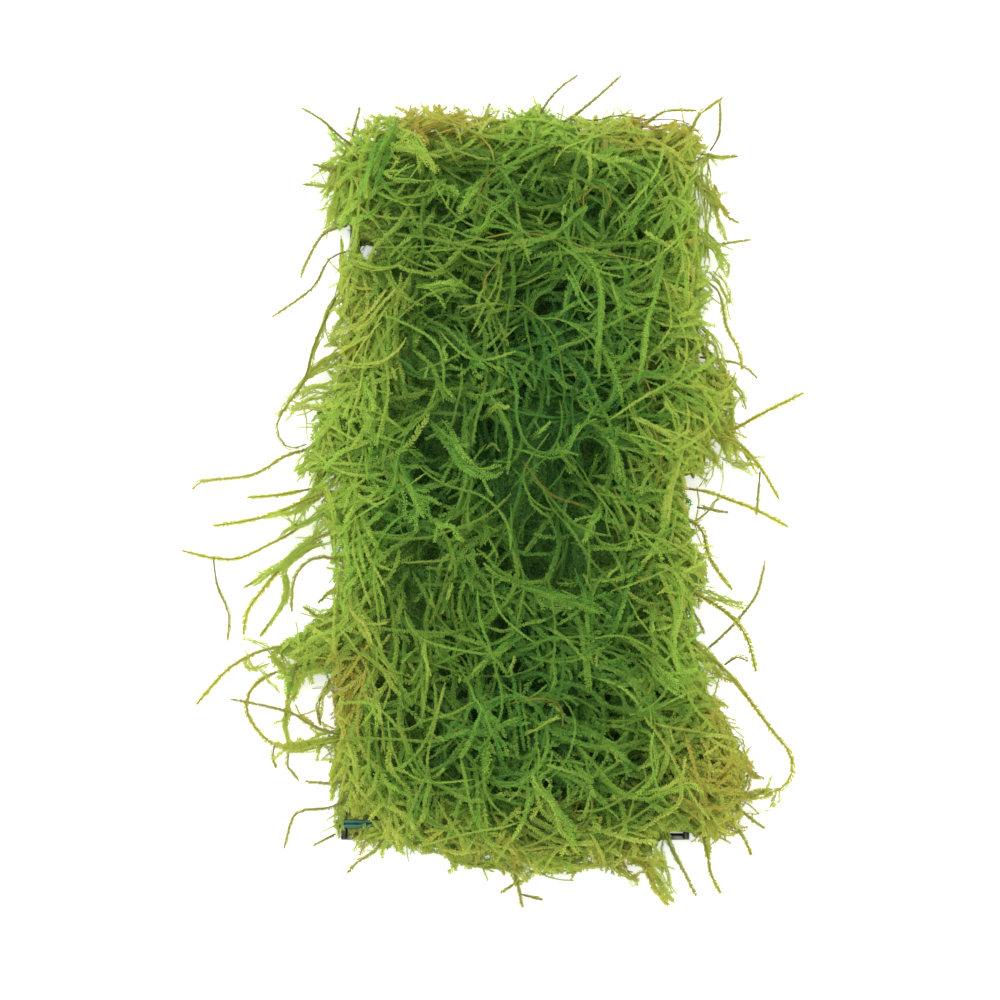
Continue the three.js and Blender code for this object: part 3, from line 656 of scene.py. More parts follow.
def add_moss(name, shoots, nodes):
    """Joins the leaves and stems of some shoots into one piece of moss."""
    leaf_corners, leaf_faces, leaf_palette = leaves_for(shoots)
    stem_corners, stem_faces, stem_palette = stems_for(shoots)
    corners = np.concatenate([leaf_corners, stem_corners])
    corners[:, 2] = np.maximum(corners[:, 2], LOWEST_LEAF)
    faces = np.concatenate([leaf_faces, stem_faces + len(leaf_corners)])
    palette = np.concatenate([leaf_palette, stem_palette])
    mesh = bpy.data.meshes.new(name)
    mesh.vertices.add(len(corners))
    mesh.vertices.foreach_set("co", (corners * MM).ravel())
    mesh.loops.add(faces.size)
    mesh.loops.foreach_set("vertex_index", faces.ravel())
    mesh.polygons.add(len(faces))
    mesh.polygons.foreach_set("loop_start", np.arange(0, faces.size, 3))
    mesh.update(calc_edges=True)
    mesh.shade_smooth()
    mesh.uv_layers.new(name="OFBake").data.foreach_set("uv", palette[faces.ravel()].ravel())
    piece = link_piece(name, mesh, moss_leaf)
    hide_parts(*nodes)


# Old moss: the imported heart of the pad, too deep to see as shoots. It fills a little over half of
# the pad's height, dips under the pits and ends ragged, a few millimetres inside the edge, so that
# light comes through the fringe. It shows only as the ground between the shoots.
# Painted shade: the old moss is coloured dark, as the shade between the shoots.
BODY_CELL = 1.25
BODY_INSET = 2.6
BODY_RAGGED = 2.2
BODY_SHARE = 0.55
BODY_PIT = 0.45
BODY_LUMP = 0.7
BODY_HALF_X, BODY_HALF_Y = 50, 92
BODY_LIFT = 0.2
RIM_DEPTH = 7.0
CORNER_MIDDLE = np.array((-34.0, -70.0))
CORNER_REACH = np.array((5.6, 6.4)) ** 2
body_shape = bmesh.new()
bmesh.ops.create_grid(
    body_shape, x_segments=int(2 * BODY_HALF_X / BODY_CELL), y_segments=int(2 * BODY_HALF_Y / BODY_CELL),
    size=1, matrix=Matrix.Diagonal((BODY_HALF_X, BODY_HALF_Y, 1, 1)),
)
outer_cells = []
for face in body_shape.faces:
    middle = np.array(face.calc_center_median()[:2])
    edge_here = BODY_INSET + BODY_RAGGED * math.sin(middle[0] * 1.1 + 1) * math.sin(middle[1] * 0.9)
    in_corner = ((middle - CORNER_MIDDLE) ** 2 / CORNER_REACH).sum() < 1
    if (at(inset, middle) < edge_here and not in_corner) or bare(middle):
        outer_cells.append(face)
bmesh.ops.delete(body_shape, geom=outer_cells, context="FACES")
for _ in range(2):
    bmesh.ops.smooth_vert(
        body_shape, verts=body_shape.verts, factor=0.5, use_axis_x=True, use_axis_y=True
    )
under = bmesh.ops.extrude_face_region(body_shape, geom=body_shape.faces[:])["geom"]
lower = {v for v in under if isinstance(v, bmesh.types.BMVert)}
for vert in body_shape.verts:
    if vert in lower:
        vert.co.z = OVER_MESH + BODY_LIFT
        continue
    place = np.array(vert.co[:2])
    low, high = float(at(base, place)), float(at(top, place))
    wave = math.sin(place[0] * 0.9 + place[1] * 0.5) * math.cos(place[1] * 0.8 - place[0] * 0.3)
    share = BODY_SHARE * (1 - BODY_PIT * float(at(pitted, place)))
    vert.co.z = low + share * (high - low) + BODY_LUMP * wave
bmesh.ops.scale(body_shape, vec=(MM, MM, MM), verts=body_shape.verts)
bmesh.ops.recalc_face_normals(body_shape, faces=body_shape.faces)
body_mesh = new_mesh("old_moss_painted_shade", body_shape)
body_places = np.array([v.co[:2] for v in body_mesh.vertices]) / MM
rim_share = np.exp(-np.maximum(at(inset, body_places), 0) / RIM_DEPTH)
body_mesh.attributes.new("rim", "FLOAT", "POINT").data.foreach_set("value", rim_share)
body_mesh.shade_smooth()

# Old moss: soft strands a fraction of a millimetre wide, matted together. Its dark green in the
# middle of the pad is painted shade, the dark between the shoots, and its straw yellow at the rim is
# the moss's own colour made lighter as painted light, where the light reaches.
STRAND_WIDTH = 0.8
old_moss_painted_shade, old_tree, old_shader = new_material("matted_old_moss_painted_shade")
old_place = add_node(old_tree, "ShaderNodeTexCoord").outputs["Object"]
strands = add_node(
    old_tree, "ShaderNodeTexNoise", Vector=old_place, Scale=1 / (STRAND_WIDTH * MM), Detail=5.0,
    Distortion=1.6,
).outputs["Fac"]
painted_shade_colour = add_node(old_tree, "ShaderNodeValToRGB", Fac=strands)
set_ramp(painted_shade_colour, [(0.36, "223f1a"), (0.5, "345623"), (0.66, "547b33")])
lit_straw_rim_colour = add_node(old_tree, "ShaderNodeValToRGB", Fac=strands)
set_ramp(lit_straw_rim_colour, [(0.36, "5f6a1c"), (0.5, "96a238"), (0.66, "bcc65a")])
rim_here = add_node(old_tree, "ShaderNodeAttribute", {"attribute_name": "rim"}).outputs["Fac"]
old_colour = add_node(old_tree, "ShaderNodeMix", {"data_type": "RGBA"})
old_tree.links.new(rim_here, old_colour.inputs["Factor"])
old_tree.links.new(painted_shade_colour.outputs["Color"], old_colour.inputs["A"])
old_tree.links.new(lit_straw_rim_colour.outputs["Color"], old_colour.inputs["B"])
old_shader.inputs["Specular IOR Level"].default_value = 0.08
old_bump = add_node(old_tree, "ShaderNodeBump", Height=strands, Strength=0.8, Distance=0.5 * MM)
old_rough = add_node(old_tree, "ShaderNodeMapRange", Value=strands, To_Min=0.6, To_Max=0.9)
link_shader(old_tree, old_shader, old_colour.outputs["Result"], old_rough, old_bump)
old_piece = link_piece("old_moss_painted_shade", body_mesh, old_moss_painted_shade)
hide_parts("moss_pad")

# Shoots of the pad: they grow in sheaves that bend slowly and cross each other. They slant to the
# right towards the near end, and lie every way in the middle and the far part, where slow waves in
# their direction sweep over the pad. Where a shoot would leave the pad, it ends.
LIE = -0.85
TURN_KEPT, TURN_NEW = 0.93, 0.35
ANY_INSET = 99
SHORTEST_KEPT = 0.3
NOTCH_RAGGED = (0.65, 1.1)
RIPPLE_HEIGHTS, RIPPLE_TURNS, ANY_TURN = (0.2, 0.6), (4, 9), (0, 6)
FULL_HEIGHT, LEAST_RIPPLE = 8, 0.15


def flow(places):
    """The way that the shoots lie at a place, in radians."""
    x, y = places[:, 0], places[:, 1]
    swirl = 0.9 * np.sin(x / 17 + 0.7) + 0.8 * np.sin(y / 23 - 1.1) + 0.5 * np.sin((x + y) / 11)
    return LIE + swirl * np.clip((y + 40) / 30, 0.25, 1)


def places_in(count, nearest_edge, furthest_edge):
    """Places spread over the pad, between two distances from its edge."""
    cells_in = np.argwhere((inset > nearest_edge) & (inset < furthest_edge))
    order = (np.arange(count) + random.random(count)) / count * len(cells_in)
    chosen = cells_in[order.astype(int)] * CELL
    return chosen - (HALF_X, HALF_Y) + random.uniform(-0.5, 0.5, (count, 2))


def wander(start, heading, length, bend):
    """Plan routes that keep turning a little from their starts: (shoot, step, x and y)."""
    step = (length / ROUTE_STEPS)[:, None]
    turn = random.normal(0, bend, len(start))
    route = [start]
    for _ in range(ROUTE_STEPS):
        turn = TURN_KEPT * turn + random.normal(0, bend * TURN_NEW, len(start))
        heading = heading + turn * step[:, 0]
        route.append(route[-1] + step * np.stack([np.cos(heading), np.sin(heading)], 1))
    return np.stack(route, 1)


def strewn(count, nearest_edge, length, bend):
    """Plan routes that start all over the pad and head anywhere."""
    start = places_in(count, nearest_edge, ANY_INSET)
    heading = random.uniform(0, 2 * math.pi, count)
    return wander(start, heading, random.uniform(*length, count), bend)


def along(routes, step):
    """Places on the straight pieces of each route, for numbers of steps from its start."""
    i = np.minimum(step.astype(int), ROUTE_STEPS - 1)
    rows = np.arange(len(routes))[:, None]
    part = (step - i)[..., None]
    return routes[rows, i] * (1 - part) + routes[rows, i + 1] * part


def cut_back(plan, beyond):
    """Shortens each route where it first goes further past the edge than it may or meets a place
    that stays bare, and leaves out those that get too short."""
    ragged = random.uniform(*NOTCH_RAGGED, (len(plan), 1))
    inside = (at(inset, plan) > -beyond[:, None]) & ~bare(plan, ragged)
    kept = np.where(inside.all(1), ROUTE_STEPS, np.argmin(inside, 1) - 1)
    good = kept >= ROUTE_STEPS * SHORTEST_KEPT
    return along(plan[good], np.linspace(0, 1, ROUTE_STEPS + 1)[None] * kept[good][:, None])


def raised(plan, share, sink, lift):
    """Gives plan routes their height: a share of the pad's, the root sunk and the tip lifted."""
    way = np.linspace(0, 1, ROUTE_STEPS + 1)[None]
    count = len(plan)
    low, high = at(base, plan), at(top, plan)
    ripple = random.uniform(*RIPPLE_HEIGHTS, (count, 1)) * np.sin(
        way * random.uniform(*RIPPLE_TURNS, (count, 1)) + random.uniform(*ANY_TURN, (count, 1))
    )
    rise = lift[:, None] * way**2 - sink[:, None] * (1 - way) ** 2
    room = np.clip((high - low) / FULL_HEIGHT, LEAST_RIPPLE, 1)
    height = low + share[:, None] * (high - low) + (rise + ripple) * room
    return np.concatenate([plan, np.maximum(height, LOWEST_STEM)[..., None]], 2)


# Colours: the pad is deep green in the middle, lighter and more yellow towards its edge and on its
# long sides, darker in hollows and round pits, and mottled in patches and clumps. The yellow is the
# moss's own. The lightness towards the edge, on the long sides, on the right and at the far end is
# partly painted light, where the thin moss is lit through from the table, and the dark in hollows,
# round pits and deep in the pad is painted shade. Places that are browner than the rest, or greener
# where the strength is negative: (x, y, radius, strength).
BROWN_SPOTS = [
    (-22, -81, 8, 0.12), (-6, -82, 8, 0.18), (6, -80, 6, 0.2), (20, -84, 8, 0.12), (42, -62, 11, 0.13),
    (36, -72, 10, 0.13), (-25, 83, 6, 0.3), (-14, 84, 7, 0.3), (27, 86, 9, 0.28), (-38, -44, 5, 0.2),
    (-34, -36, 5, 0.16), (-41, -50, 5, 0.24), (-36, 44, 6, 0.1), (-34, 36, 5, 0.08), (4, 56, 4, 0.18),
    (-8, 40, 3, 0.24), (24, 22, 3, 0.16), (-28, -60, 5, 0.1), (-36, -76, 7, 0.14), (34, -64, 3, 0.2),
    (12, -60, 15, 0.06), (14, 12, 16, -0.09), (-25, -9, 9, -0.1),
]
BROWN_BELOW, BROWN_TONE = 0.19, 0.02
YELLOW_CORNER, YELLOW_REACH, YELLOW_LIGHT = (48, -67), 9, 0.2
EDGE_REACH = 9
GREEN_TONE, EDGE_TONE, PATCH_TONE = 0.7, 0.22, 0.03
GREEN_LIGHT, EDGE_LIGHT = 0.5, 0.43
DEPTH_SHADE, HOLLOW_SHADE, PIT_SHADE = 0.6, 0.34, 0.24
SIDE_FROM, SIDE_WIDTH, NEAR_SIDE_FROM, NEAR_SIDE_WIDER = 27, 9, 15, 6
SIDE_LIGHT, SIDE_TONE = 0.26, 0.06
RIGHT_FROM, RIGHT_LIGHT = 30, 0.05
FAR_FROM, FAR_WIDTH, FAR_LIGHT = 76, 6, 0.14
CLUMP_LIGHT = 0.16
SHOOT_TONE_SCATTER, SHOOT_LIGHT_SCATTER = 0.045, 0.07
BROWN_SHARES = (0.4, 1.1)
ODD_SHARE, ODD_TONES, ODD_LIGHTS = 0.012, (0.3, 0.8), (0.3, 0.9)
TIP_FRESHER = (0.02, 0.22)
LEAF_ANGLE = 0.84
ROLLS = (-0.6, 0.6)
THINNEST_STEM, STEM_GROWTH = 0.08, 0.19


def coloured(route, reach, depth=0.0, extra_light=0.0):
    """Shoots with their sizes and colours, which follow where they lie in the pad.

    reach is half the width over the leaves, open how far apart they are set, spread how far they
    stand off the stem, bare the share at the root without full leaves, roll the turn about the stem,
    deep how much depth in the pad shades them, grey how much browner the stem is, and fresh how much
    lighter the tip is than the root.
    """
    count = len(route)
    middle = route[:, ROUTE_STEPS // 2, :2]
    x, y = middle.T
    edge = np.exp(-np.maximum(at(inset, middle), 0) / EDGE_REACH)
    patch = PATCH_TONE * np.sin(x / 9 + 1) + PATCH_TONE * np.sin(y / 13 - x / 19)
    tone = GREEN_TONE - EDGE_TONE * edge + patch + random.normal(0, SHOOT_TONE_SCATTER, count)
    # Painted light and shade: lighter towards the edge, on the sides, on the right and at the far end;
    # darker with depth, in hollows and round pits.
    light = GREEN_LIGHT + EDGE_LIGHT * edge - DEPTH_SHADE * depth - HOLLOW_SHADE * at(hollow, middle)
    light = light + random.normal(0, SHOOT_LIGHT_SCATTER, count) + extra_light
    light -= PIT_SHADE * at(around_pitted, middle)
    wider = NEAR_SIDE_WIDER * np.clip(-(y + NEAR_SIDE_FROM) / NEAR_SIDE_FROM, 0, 1)
    side = np.clip((np.abs(x) - SIDE_FROM - wider) / SIDE_WIDTH, 0, 1)
    far = np.clip((y - FAR_FROM) / FAR_WIDTH, 0, 1)
    light += SIDE_LIGHT * side + RIGHT_LIGHT * (x > RIGHT_FROM) + FAR_LIGHT * far
    tone -= SIDE_TONE * side
    light += CLUMP_LIGHT * np.sin(x / 3 + y / 6) * np.sin(y / 4 - x / 8)
    for spot_x, spot_y, radius, strength in BROWN_SPOTS:
        near = np.exp(-(((middle - (spot_x, spot_y)) / radius) ** 2).sum(1))
        tone -= strength * near * random.uniform(*BROWN_SHARES, count)
    tone = np.where(tone < BROWN_BELOW, BROWN_TONE, tone)
    light += YELLOW_LIGHT * np.exp(-(((middle - YELLOW_CORNER) / YELLOW_REACH) ** 2).sum(1))
    odd = random.random(count) < ODD_SHARE
    tone = np.where(odd, random.uniform(*ODD_TONES, count), tone)
    light = np.where(odd, random.uniform(*ODD_LIGHTS, count), light)
    return {
        "route": route,
        "reach": reach,
        "open": np.ones(count),
        "bare": np.zeros(count),
        "grey": np.zeros(count),
        "spread": np.full(count, LEAF_ANGLE),
        "deep": np.ones(count),
        "stem": THINNEST_STEM + STEM_GROWTH * reach,
        "roll": random.uniform(*ROLLS, count),
        "tone": tone,
        "light": light,
        "fresh": random.uniform(*TIP_FRESHER, count),
    }


# How shoots pass the pits: they bend round them, keeping clear of a share of each pit's radius.
# Those that keep together sway a little against each other, and each waves by itself.
PIT_ROUNDNESS = 2.4
PIT_FINE_STEPS = 3
LEFT_OUT = (0.2, 0.9)
SWAY, SWAY_TURN = 0.12, 9
ROUTE_WAVE, WAVE_TURNS = 0.35, (9, 18)
OPEN_ROOT = 1.1


def around_pits(plan, clear_share, may_cross):
    """Bends plan routes round the pits, and leaves out those that would cross one unless they may."""
    steps = np.linspace(0, ROUTE_STEPS, PIT_FINE_STEPS * ROUTE_STEPS + 1)
    fine = along(plan, np.repeat(steps[None], len(plan), 0))
    clear = np.ones(len(fine), bool)
    for x, y, radius in PITS:
        near = np.linalg.norm(fine - (x, y), axis=2).min(1) / radius
        clear &= may_cross | (near > random.uniform(*LEFT_OUT, len(fine)) * clear_share)
    fine = fine[clear]
    for x, y, radius in PITS:
        off = fine - (x, y)
        apart = np.maximum(np.linalg.norm(off, axis=2, keepdims=True), 0.05)
        pushed = apart**PIT_ROUNDNESS + (clear_share * radius) ** PIT_ROUNDNESS
        fine = (x, y) + off * pushed ** (1 / PIT_ROUNDNESS) / apart
    far = np.cumsum(np.linalg.norm(np.diff(fine, axis=1), axis=2), axis=1)
    far = np.concatenate([np.zeros((len(fine), 1)), far], 1)
    spaced = []
    for reached, route in zip(far, fine):
        wanted = np.linspace(0, reached[-1], ROUTE_STEPS + 1)
        spaced.append([np.interp(wanted, reached, route[:, k]) for k in range(2)])
    return np.array(spaced).reshape(-1, 2, ROUTE_STEPS + 1).transpose(0, 2, 1)


def beside(guides, width, apart_most=0.45, closing=0.0):
    """Routes that keep together along their guides; a closing bundle is narrower at its tip."""
    count = len(guides)
    begin = random.uniform(0, apart_most, (count, 1))
    end = random.uniform(1 - apart_most, 1, (count, 1))
    share = begin + (end - begin) * np.linspace(0, 1, ROUTE_STEPS + 1)[None]
    route = along(guides, share * ROUTE_STEPS)
    ahead = unit(np.gradient(route[..., :2], axis=1))
    sway = random.uniform(-0.5, 0.5, (count, 1))
    sway = sway + SWAY * np.sin(share * SWAY_TURN + random.uniform(*ANY_TURN, (count, 1)))
    turns = random.uniform(*WAVE_TURNS, (count, 1))
    wave = ROUTE_WAVE * np.sin(share * turns + random.uniform(*ANY_TURN, (count, 1)))
    off = (width * sway * (OPEN_ROOT - closing * share) + wave)[..., None]
    route[..., :2] += off * np.stack([-ahead[..., 1], ahead[..., 0]], 2)
    return route


def bundle(points, count, width, apart_most=0.45):
    """Plan routes that keep together along one way through the given points."""
    return beside(np.repeat(evenly(points)[None], count, 0), width, apart_most)


# Laid shoots end a little before the edge or past it, with the root sunk and the tip free. Sheaves
# keep closer to the way that the shoots lie as they get near the near end.
LAID_BEYOND, LAID_SINK, LAID_LIFT = (-4, 1.5), (0.5, 3), (-1, 1.6)
HEADING_SCATTER, STEADY_NEAR, STEADIEST = 0.9, 60, 0.45


def at_heights(plan, heights, sinks, lifts, reach, depth=0.0, extra_light=0.0):
    """Shoots for plan routes, with height, sink, lift and leaf reach each drawn from its range."""
    number = len(plan)
    share = random.uniform(*heights, number)
    sink = random.uniform(*sinks, number)
    route = raised(plan, share, sink, random.uniform(*lifts, number))
    return coloured(route, random.uniform(*reach, number), depth, extra_light)


def laid(plan, heights, reach, depth=0.0, extra_light=0.0, clear_share=1.0, may_cross=False):
    """Shoots for plan routes, bent round the pits, cut at the edge and laid at their height."""
    plan = around_pits(plan, clear_share, may_cross)
    plan = cut_back(plan, random.uniform(*LAID_BEYOND, len(plan)))
    return at_heights(plan, heights, LAID_SINK, LAID_LIFT, reach, depth, extra_light)


def sheaves(count, each, width, length, bend, nearest_edge, **how_laid):
    """Shoots that grow in sheaves: each sheaf keeps together along one winding guide."""
    seeds = places_in(count, nearest_edge, ANY_INSET)
    scatter = random.normal(0, HEADING_SCATTER, count)
    heading = flow(seeds) + scatter * np.clip((seeds[:, 1] + STEADY_NEAR) / STEADY_NEAR, STEADIEST, 1)
    guides = wander(seeds, heading, random.uniform(*length, count), bend)
    return laid(beside(np.repeat(guides, each, 0), width), **how_laid)


def joined(*groups):
    """Groups of shoots put together."""
    return {key: np.concatenate([group[key] for group in groups]) for key in groups[0]}


def picked(shoots, chosen):
    """Those of the shoots that are chosen."""
    return {key: value[chosen] for key, value in shoots.items()}


# Side branches: a little smaller than the shoot that they leave, and lighter. None leaves at the
# very root or tip.
FIRST_FORK, LAST_FORK = 3, ROUTE_STEPS - 3
BRANCH_ANGLES, BRANCH_BEND, BRANCH_LIFT = (0.6, 1.15), 0.05, (-1.2, 1.4)
BRANCH_REACH, BRANCH_STEM, BRANCH_LIGHT = 0.85, 0.8, 0.04


def side_branches(shoots, count, length, spread=1.0):
    """Short branches that leave the shoots at a wide angle, as java moss branches."""
    which = random.integers(0, len(shoots["route"]), count)
    share = random.integers(FIRST_FORK, LAST_FORK + 1, count)
    place = shoots["route"][which, share]
    ahead = shoots["route"][which, share + 1] - place
    side = np.where(random.random(count) < 0.5, 1, -1)
    heading = np.arctan2(ahead[:, 1], ahead[:, 0]) + side * random.uniform(*BRANCH_ANGLES, count) * spread
    plan = wander(place[:, :2], heading, random.uniform(*length, count), BRANCH_BEND)
    way = np.linspace(0, 1, ROUTE_STEPS + 1)[None]
    height = place[:, 2:3] + random.uniform(*BRANCH_LIFT, (count, 1)) * way
    branch = {key: value[which].copy() for key, value in shoots.items()}
    branch["route"] = np.concatenate([plan, np.maximum(height, LOWEST_STEM)[..., None]], 2)
    branch["reach"] *= BRANCH_REACH
    branch["stem"] *= BRANCH_STEM
    branch["light"] += BRANCH_LIGHT
    return branch


# Lower shoots, seen between the others: set darker as painted shade deep in the pad, and more widely
# set with leaves.
lower_shoots = sheaves(
    420, 4, 4.0, (20, 40), 0.08, 5, heights=(0.56, 0.84), reach=(0.5, 0.8), depth=0.15, clear_share=0.5
)
lower_shoots["open"] *= 1.3
add_moss("lower_moss", lower_shoots, ["moss_pad"])

# Middle shoots, the bulk of what shows, in three pieces one behind the other along the mat.
MIDDLE_PIECES = [
    ("near_middle_moss", -HALF_Y, -27), ("mid_middle_moss", -27, 30), ("far_middle_moss", 30, HALF_Y)
]
# Painted shade: the middle shoots are set a little darker for their depth.
middle_shoots = sheaves(
    640, 3, 2.4, (18, 42), 0.06, 4, heights=(0.78, 0.98), reach=(0.42, 0.72), depth=0.07, clear_share=0.75
)
middle_shoots = joined(middle_shoots, side_branches(middle_shoots, 240, (3, 8)))
middle_shoots["open"] *= 1.05
root_y = middle_shoots["route"][:, 0, 1]
for name, low, high in MIDDLE_PIECES:
    add_moss(name, picked(middle_shoots, (root_y >= low) & (root_y < high)), ["moss_pad"])

# Ropes: shoots that have grown together and wind over the pad, each where it lies in the mat, as
# number of shoots, width, leaf reach and way. Pale grey-green strands lie over them, one or two
# together; they are set pale partly as painted highlight, the sheen on wet thin strands.
ROPES = [
    [4, 1.4, 0.75, (-22.2, 70.7), (-19.9, 68.6), (-17.6, 66.7), (-15.5, 64.5)],
    [3, 1.1, 0.75, (-21.7, 69.5), (-20.3, 66.7), (-19.1, 63.1)],
    [5, 1.8, 0.85, (-8.2, 70.7), (-11.4, 67.4), (-13.7, 63.5), (-15.7, 59.9)],
    [5, 2.2, 0.7, (-1.1, 67.1), (-4.3, 63.8), (-7.7, 61.1), (-9.8, 57.8), (-13, 54.4)],
    [6, 2.4, 0.8, (-25.6, 43), (-21.5, 42.3), (-17.4, 43), (-13.4, 42.7)],
    [3, 1.2, 0.6, (-12, 33.7), (-11.3, 38.5), (-10.6, 42), (-9.3, 45.6)],
    [6, 1.8, 0.75, (-2, 54.9), (4.1, 55.6), (9.8, 53.7), (13.8, 50.6), (16.1, 45.1), (16.5, 38),
     (16.4, 29.7), (15.7, 23.1), (15.9, 17.4)],
    [4, 1.6, 0.7, (8.5, 76), (10.1, 71.5), (10.5, 66.7), (10.9, 61.1)],
    [3, 1.2, 0.6, (13.9, 70.7), (16.7, 67.9), (19.6, 66.2), (22.1, 64.3)],
    [4, 1.5, 0.75, (29, 65.9), (26.4, 62.8), (24.1, 59), (22.7, 55.6)],
    [4, 1.5, 0.7, (30, 55.9), (30.2, 50.6), (29, 44.4), (28.2, 38.7), (26.6, 33.2), (25.4, 26.1),
     (24, 19.7)],
    [4, 1.4, 0.7, (16.6, 50.6), (18.8, 45.1), (20.1, 39.7), (21, 34.4), (21.4, 30.9)],
    [3, 1.3, 0.6, (8.4, 50.1), (9.7, 45.4), (11.5, 41.3), (14.2, 36.3)],
    [5, 1.8, 0.8, (13.6, 8.9), (17.2, 7.5), (19.6, 4.2), (20.3, 0.2), (21.1, -3.3), (22.7, -6.1)],
    [4, 1.7, 0.75, (6, 7.7), (8.5, 3.7), (10.7, 0.2), (14, -1.9)],
    [4, 1.6, 0.7, (25.1, -6.8), (23.5, -12.2), (21.7, -17.8)],
    [5, 2, 0.7, (16.5, -5.2), (15.5, -9.1), (14, -12.9), (11.3, -16.9)],
    [4, 1.4, 0.7, (25.9, 31.3), (22, 26.6), (17.7, 22.3)],
    [3, 1.2, 0.6, (6.5, 17.4), (11.4, 16.9), (16.8, 16.2)],
    [3, 1.2, 0.6, (-1.1, 5.4), (3.6, 9.4), (6.5, 12.2)],
    [4, 1.5, 0.75, (-23.6, 27.3), (-21.4, 24.2), (-19.8, 20.2), (-17.5, 17.2), (-13.7, 15)],
    [8, 3, 0.8, (-22.4, 13.4), (-18.8, 9.1), (-16.3, 5.1), (-13.8, 1.4), (-10.2, -0.5), (-5.6, 0.2)],
    [4, 1.4, 0.75, (-37.3, 25.4), (-35.9, 19.5), (-34.1, 15.5), (-32.2, 11.3)],
    [9, 4, 0.8, (-32.1, 3.3), (-28.3, -1), (-25.6, -5.6), (-24.4, -10.3), (-22.8, -15.5)],
    [4, 1.6, 0.75, (-13.5, 29.2), (-11.9, 24), (-9.9, 20.9)],
    [4, 1.8, 0.7, (-10.4, -6.3), (-9.3, -12), (-10, -18.7)],
    [5, 2.2, 0.7, (-23.8, -8.7), (-19.3, -11.7), (-14.8, -15), (-10.6, -17.5)],
    [8, 2.8, 0.85, (-11.7, -18.7), (-7.3, -22), (-2.9, -25.2), (4, -28), (10.1, -29.4),
     (16.1, -32.7), (20.9, -36.8)],
    [6, 2.6, 0.8, (19.3, -35.4), (23.9, -39.6), (28, -44.4), (31.7, -48.8), (36, -52.5)],
    [9, 4.2, 0.6, (-39.3, -38.2), (-34.9, -40.5), (-31.1, -44), (-28.7, -48.4), (-25.1, -52.5)],
    [6, 2.4, 0.8, (1.1, -35.4), (-4.2, -38.7), (-9, -42.4), (-13.4, -46.1)],
    [6, 2.6, 0.75, (-14.9, -43.5), (-12.5, -48.6), (-9.4, -53.9), (-6.1, -59.6), (-3.7, -65.8)],
    [5, 2.4, 0.75, (-35.9, -61.9), (-32.8, -66), (-29.7, -69.2), (-26.7, -72.2)],
    [4, 2.2, 0.85, (-10.5, -59.4), (-9.6, -63.1), (-10.2, -66.7)],
    [9, 3.6, 0.85, (0.2, -65.1), (3, -70.1), (5.8, -75.9), (8.9, -80.4), (11.9, -84.7)],
    [5, 2.2, 0.7, (6.7, -61.7), (10.4, -65.8), (14.1, -69.9)],
    [4, 1.8, 0.7, (22.2, -57.3), (25.7, -59.6), (27.2, -63.1), (26.5, -67.4)],
    [5, 2.2, 0.7, (-38.7, -52), (-36.1, -49.7), (-32.5, -53.4), (-32, -58)],
    [5, 2.2, 0.75, (-29.9, -56.6), (-29, -61.2), (-29.8, -65.1), (-25.8, -68.1)],
    [5, 2.4, 0.7, (24.5, -72.7), (28.8, -70.8), (34.3, -69.5), (38.4, -71.3)],
    [3, 1.6, 0.7, (0, 80), (12, 76), (22, 72), (31, 70)],
    [6, 2.6, 0.8, (-37, 80), (-31, 78), (-26, 77), (-20, 75)],
    [6, 2.6, 0.8, (-34, 85), (-28, 81), (-24, 76), (-21, 70)],
    [4, 1.8, 0.7, (36, 66), (34, 58), (37, 48), (36, 38)],
    [4, 1.8, 0.7, (30, -14), (34, -26), (32, -38), (36, -50)],
    [4, 1.8, 0.7, (-8, 8), (2, 4), (8, 5), (13, 12), (22, 14)],
]
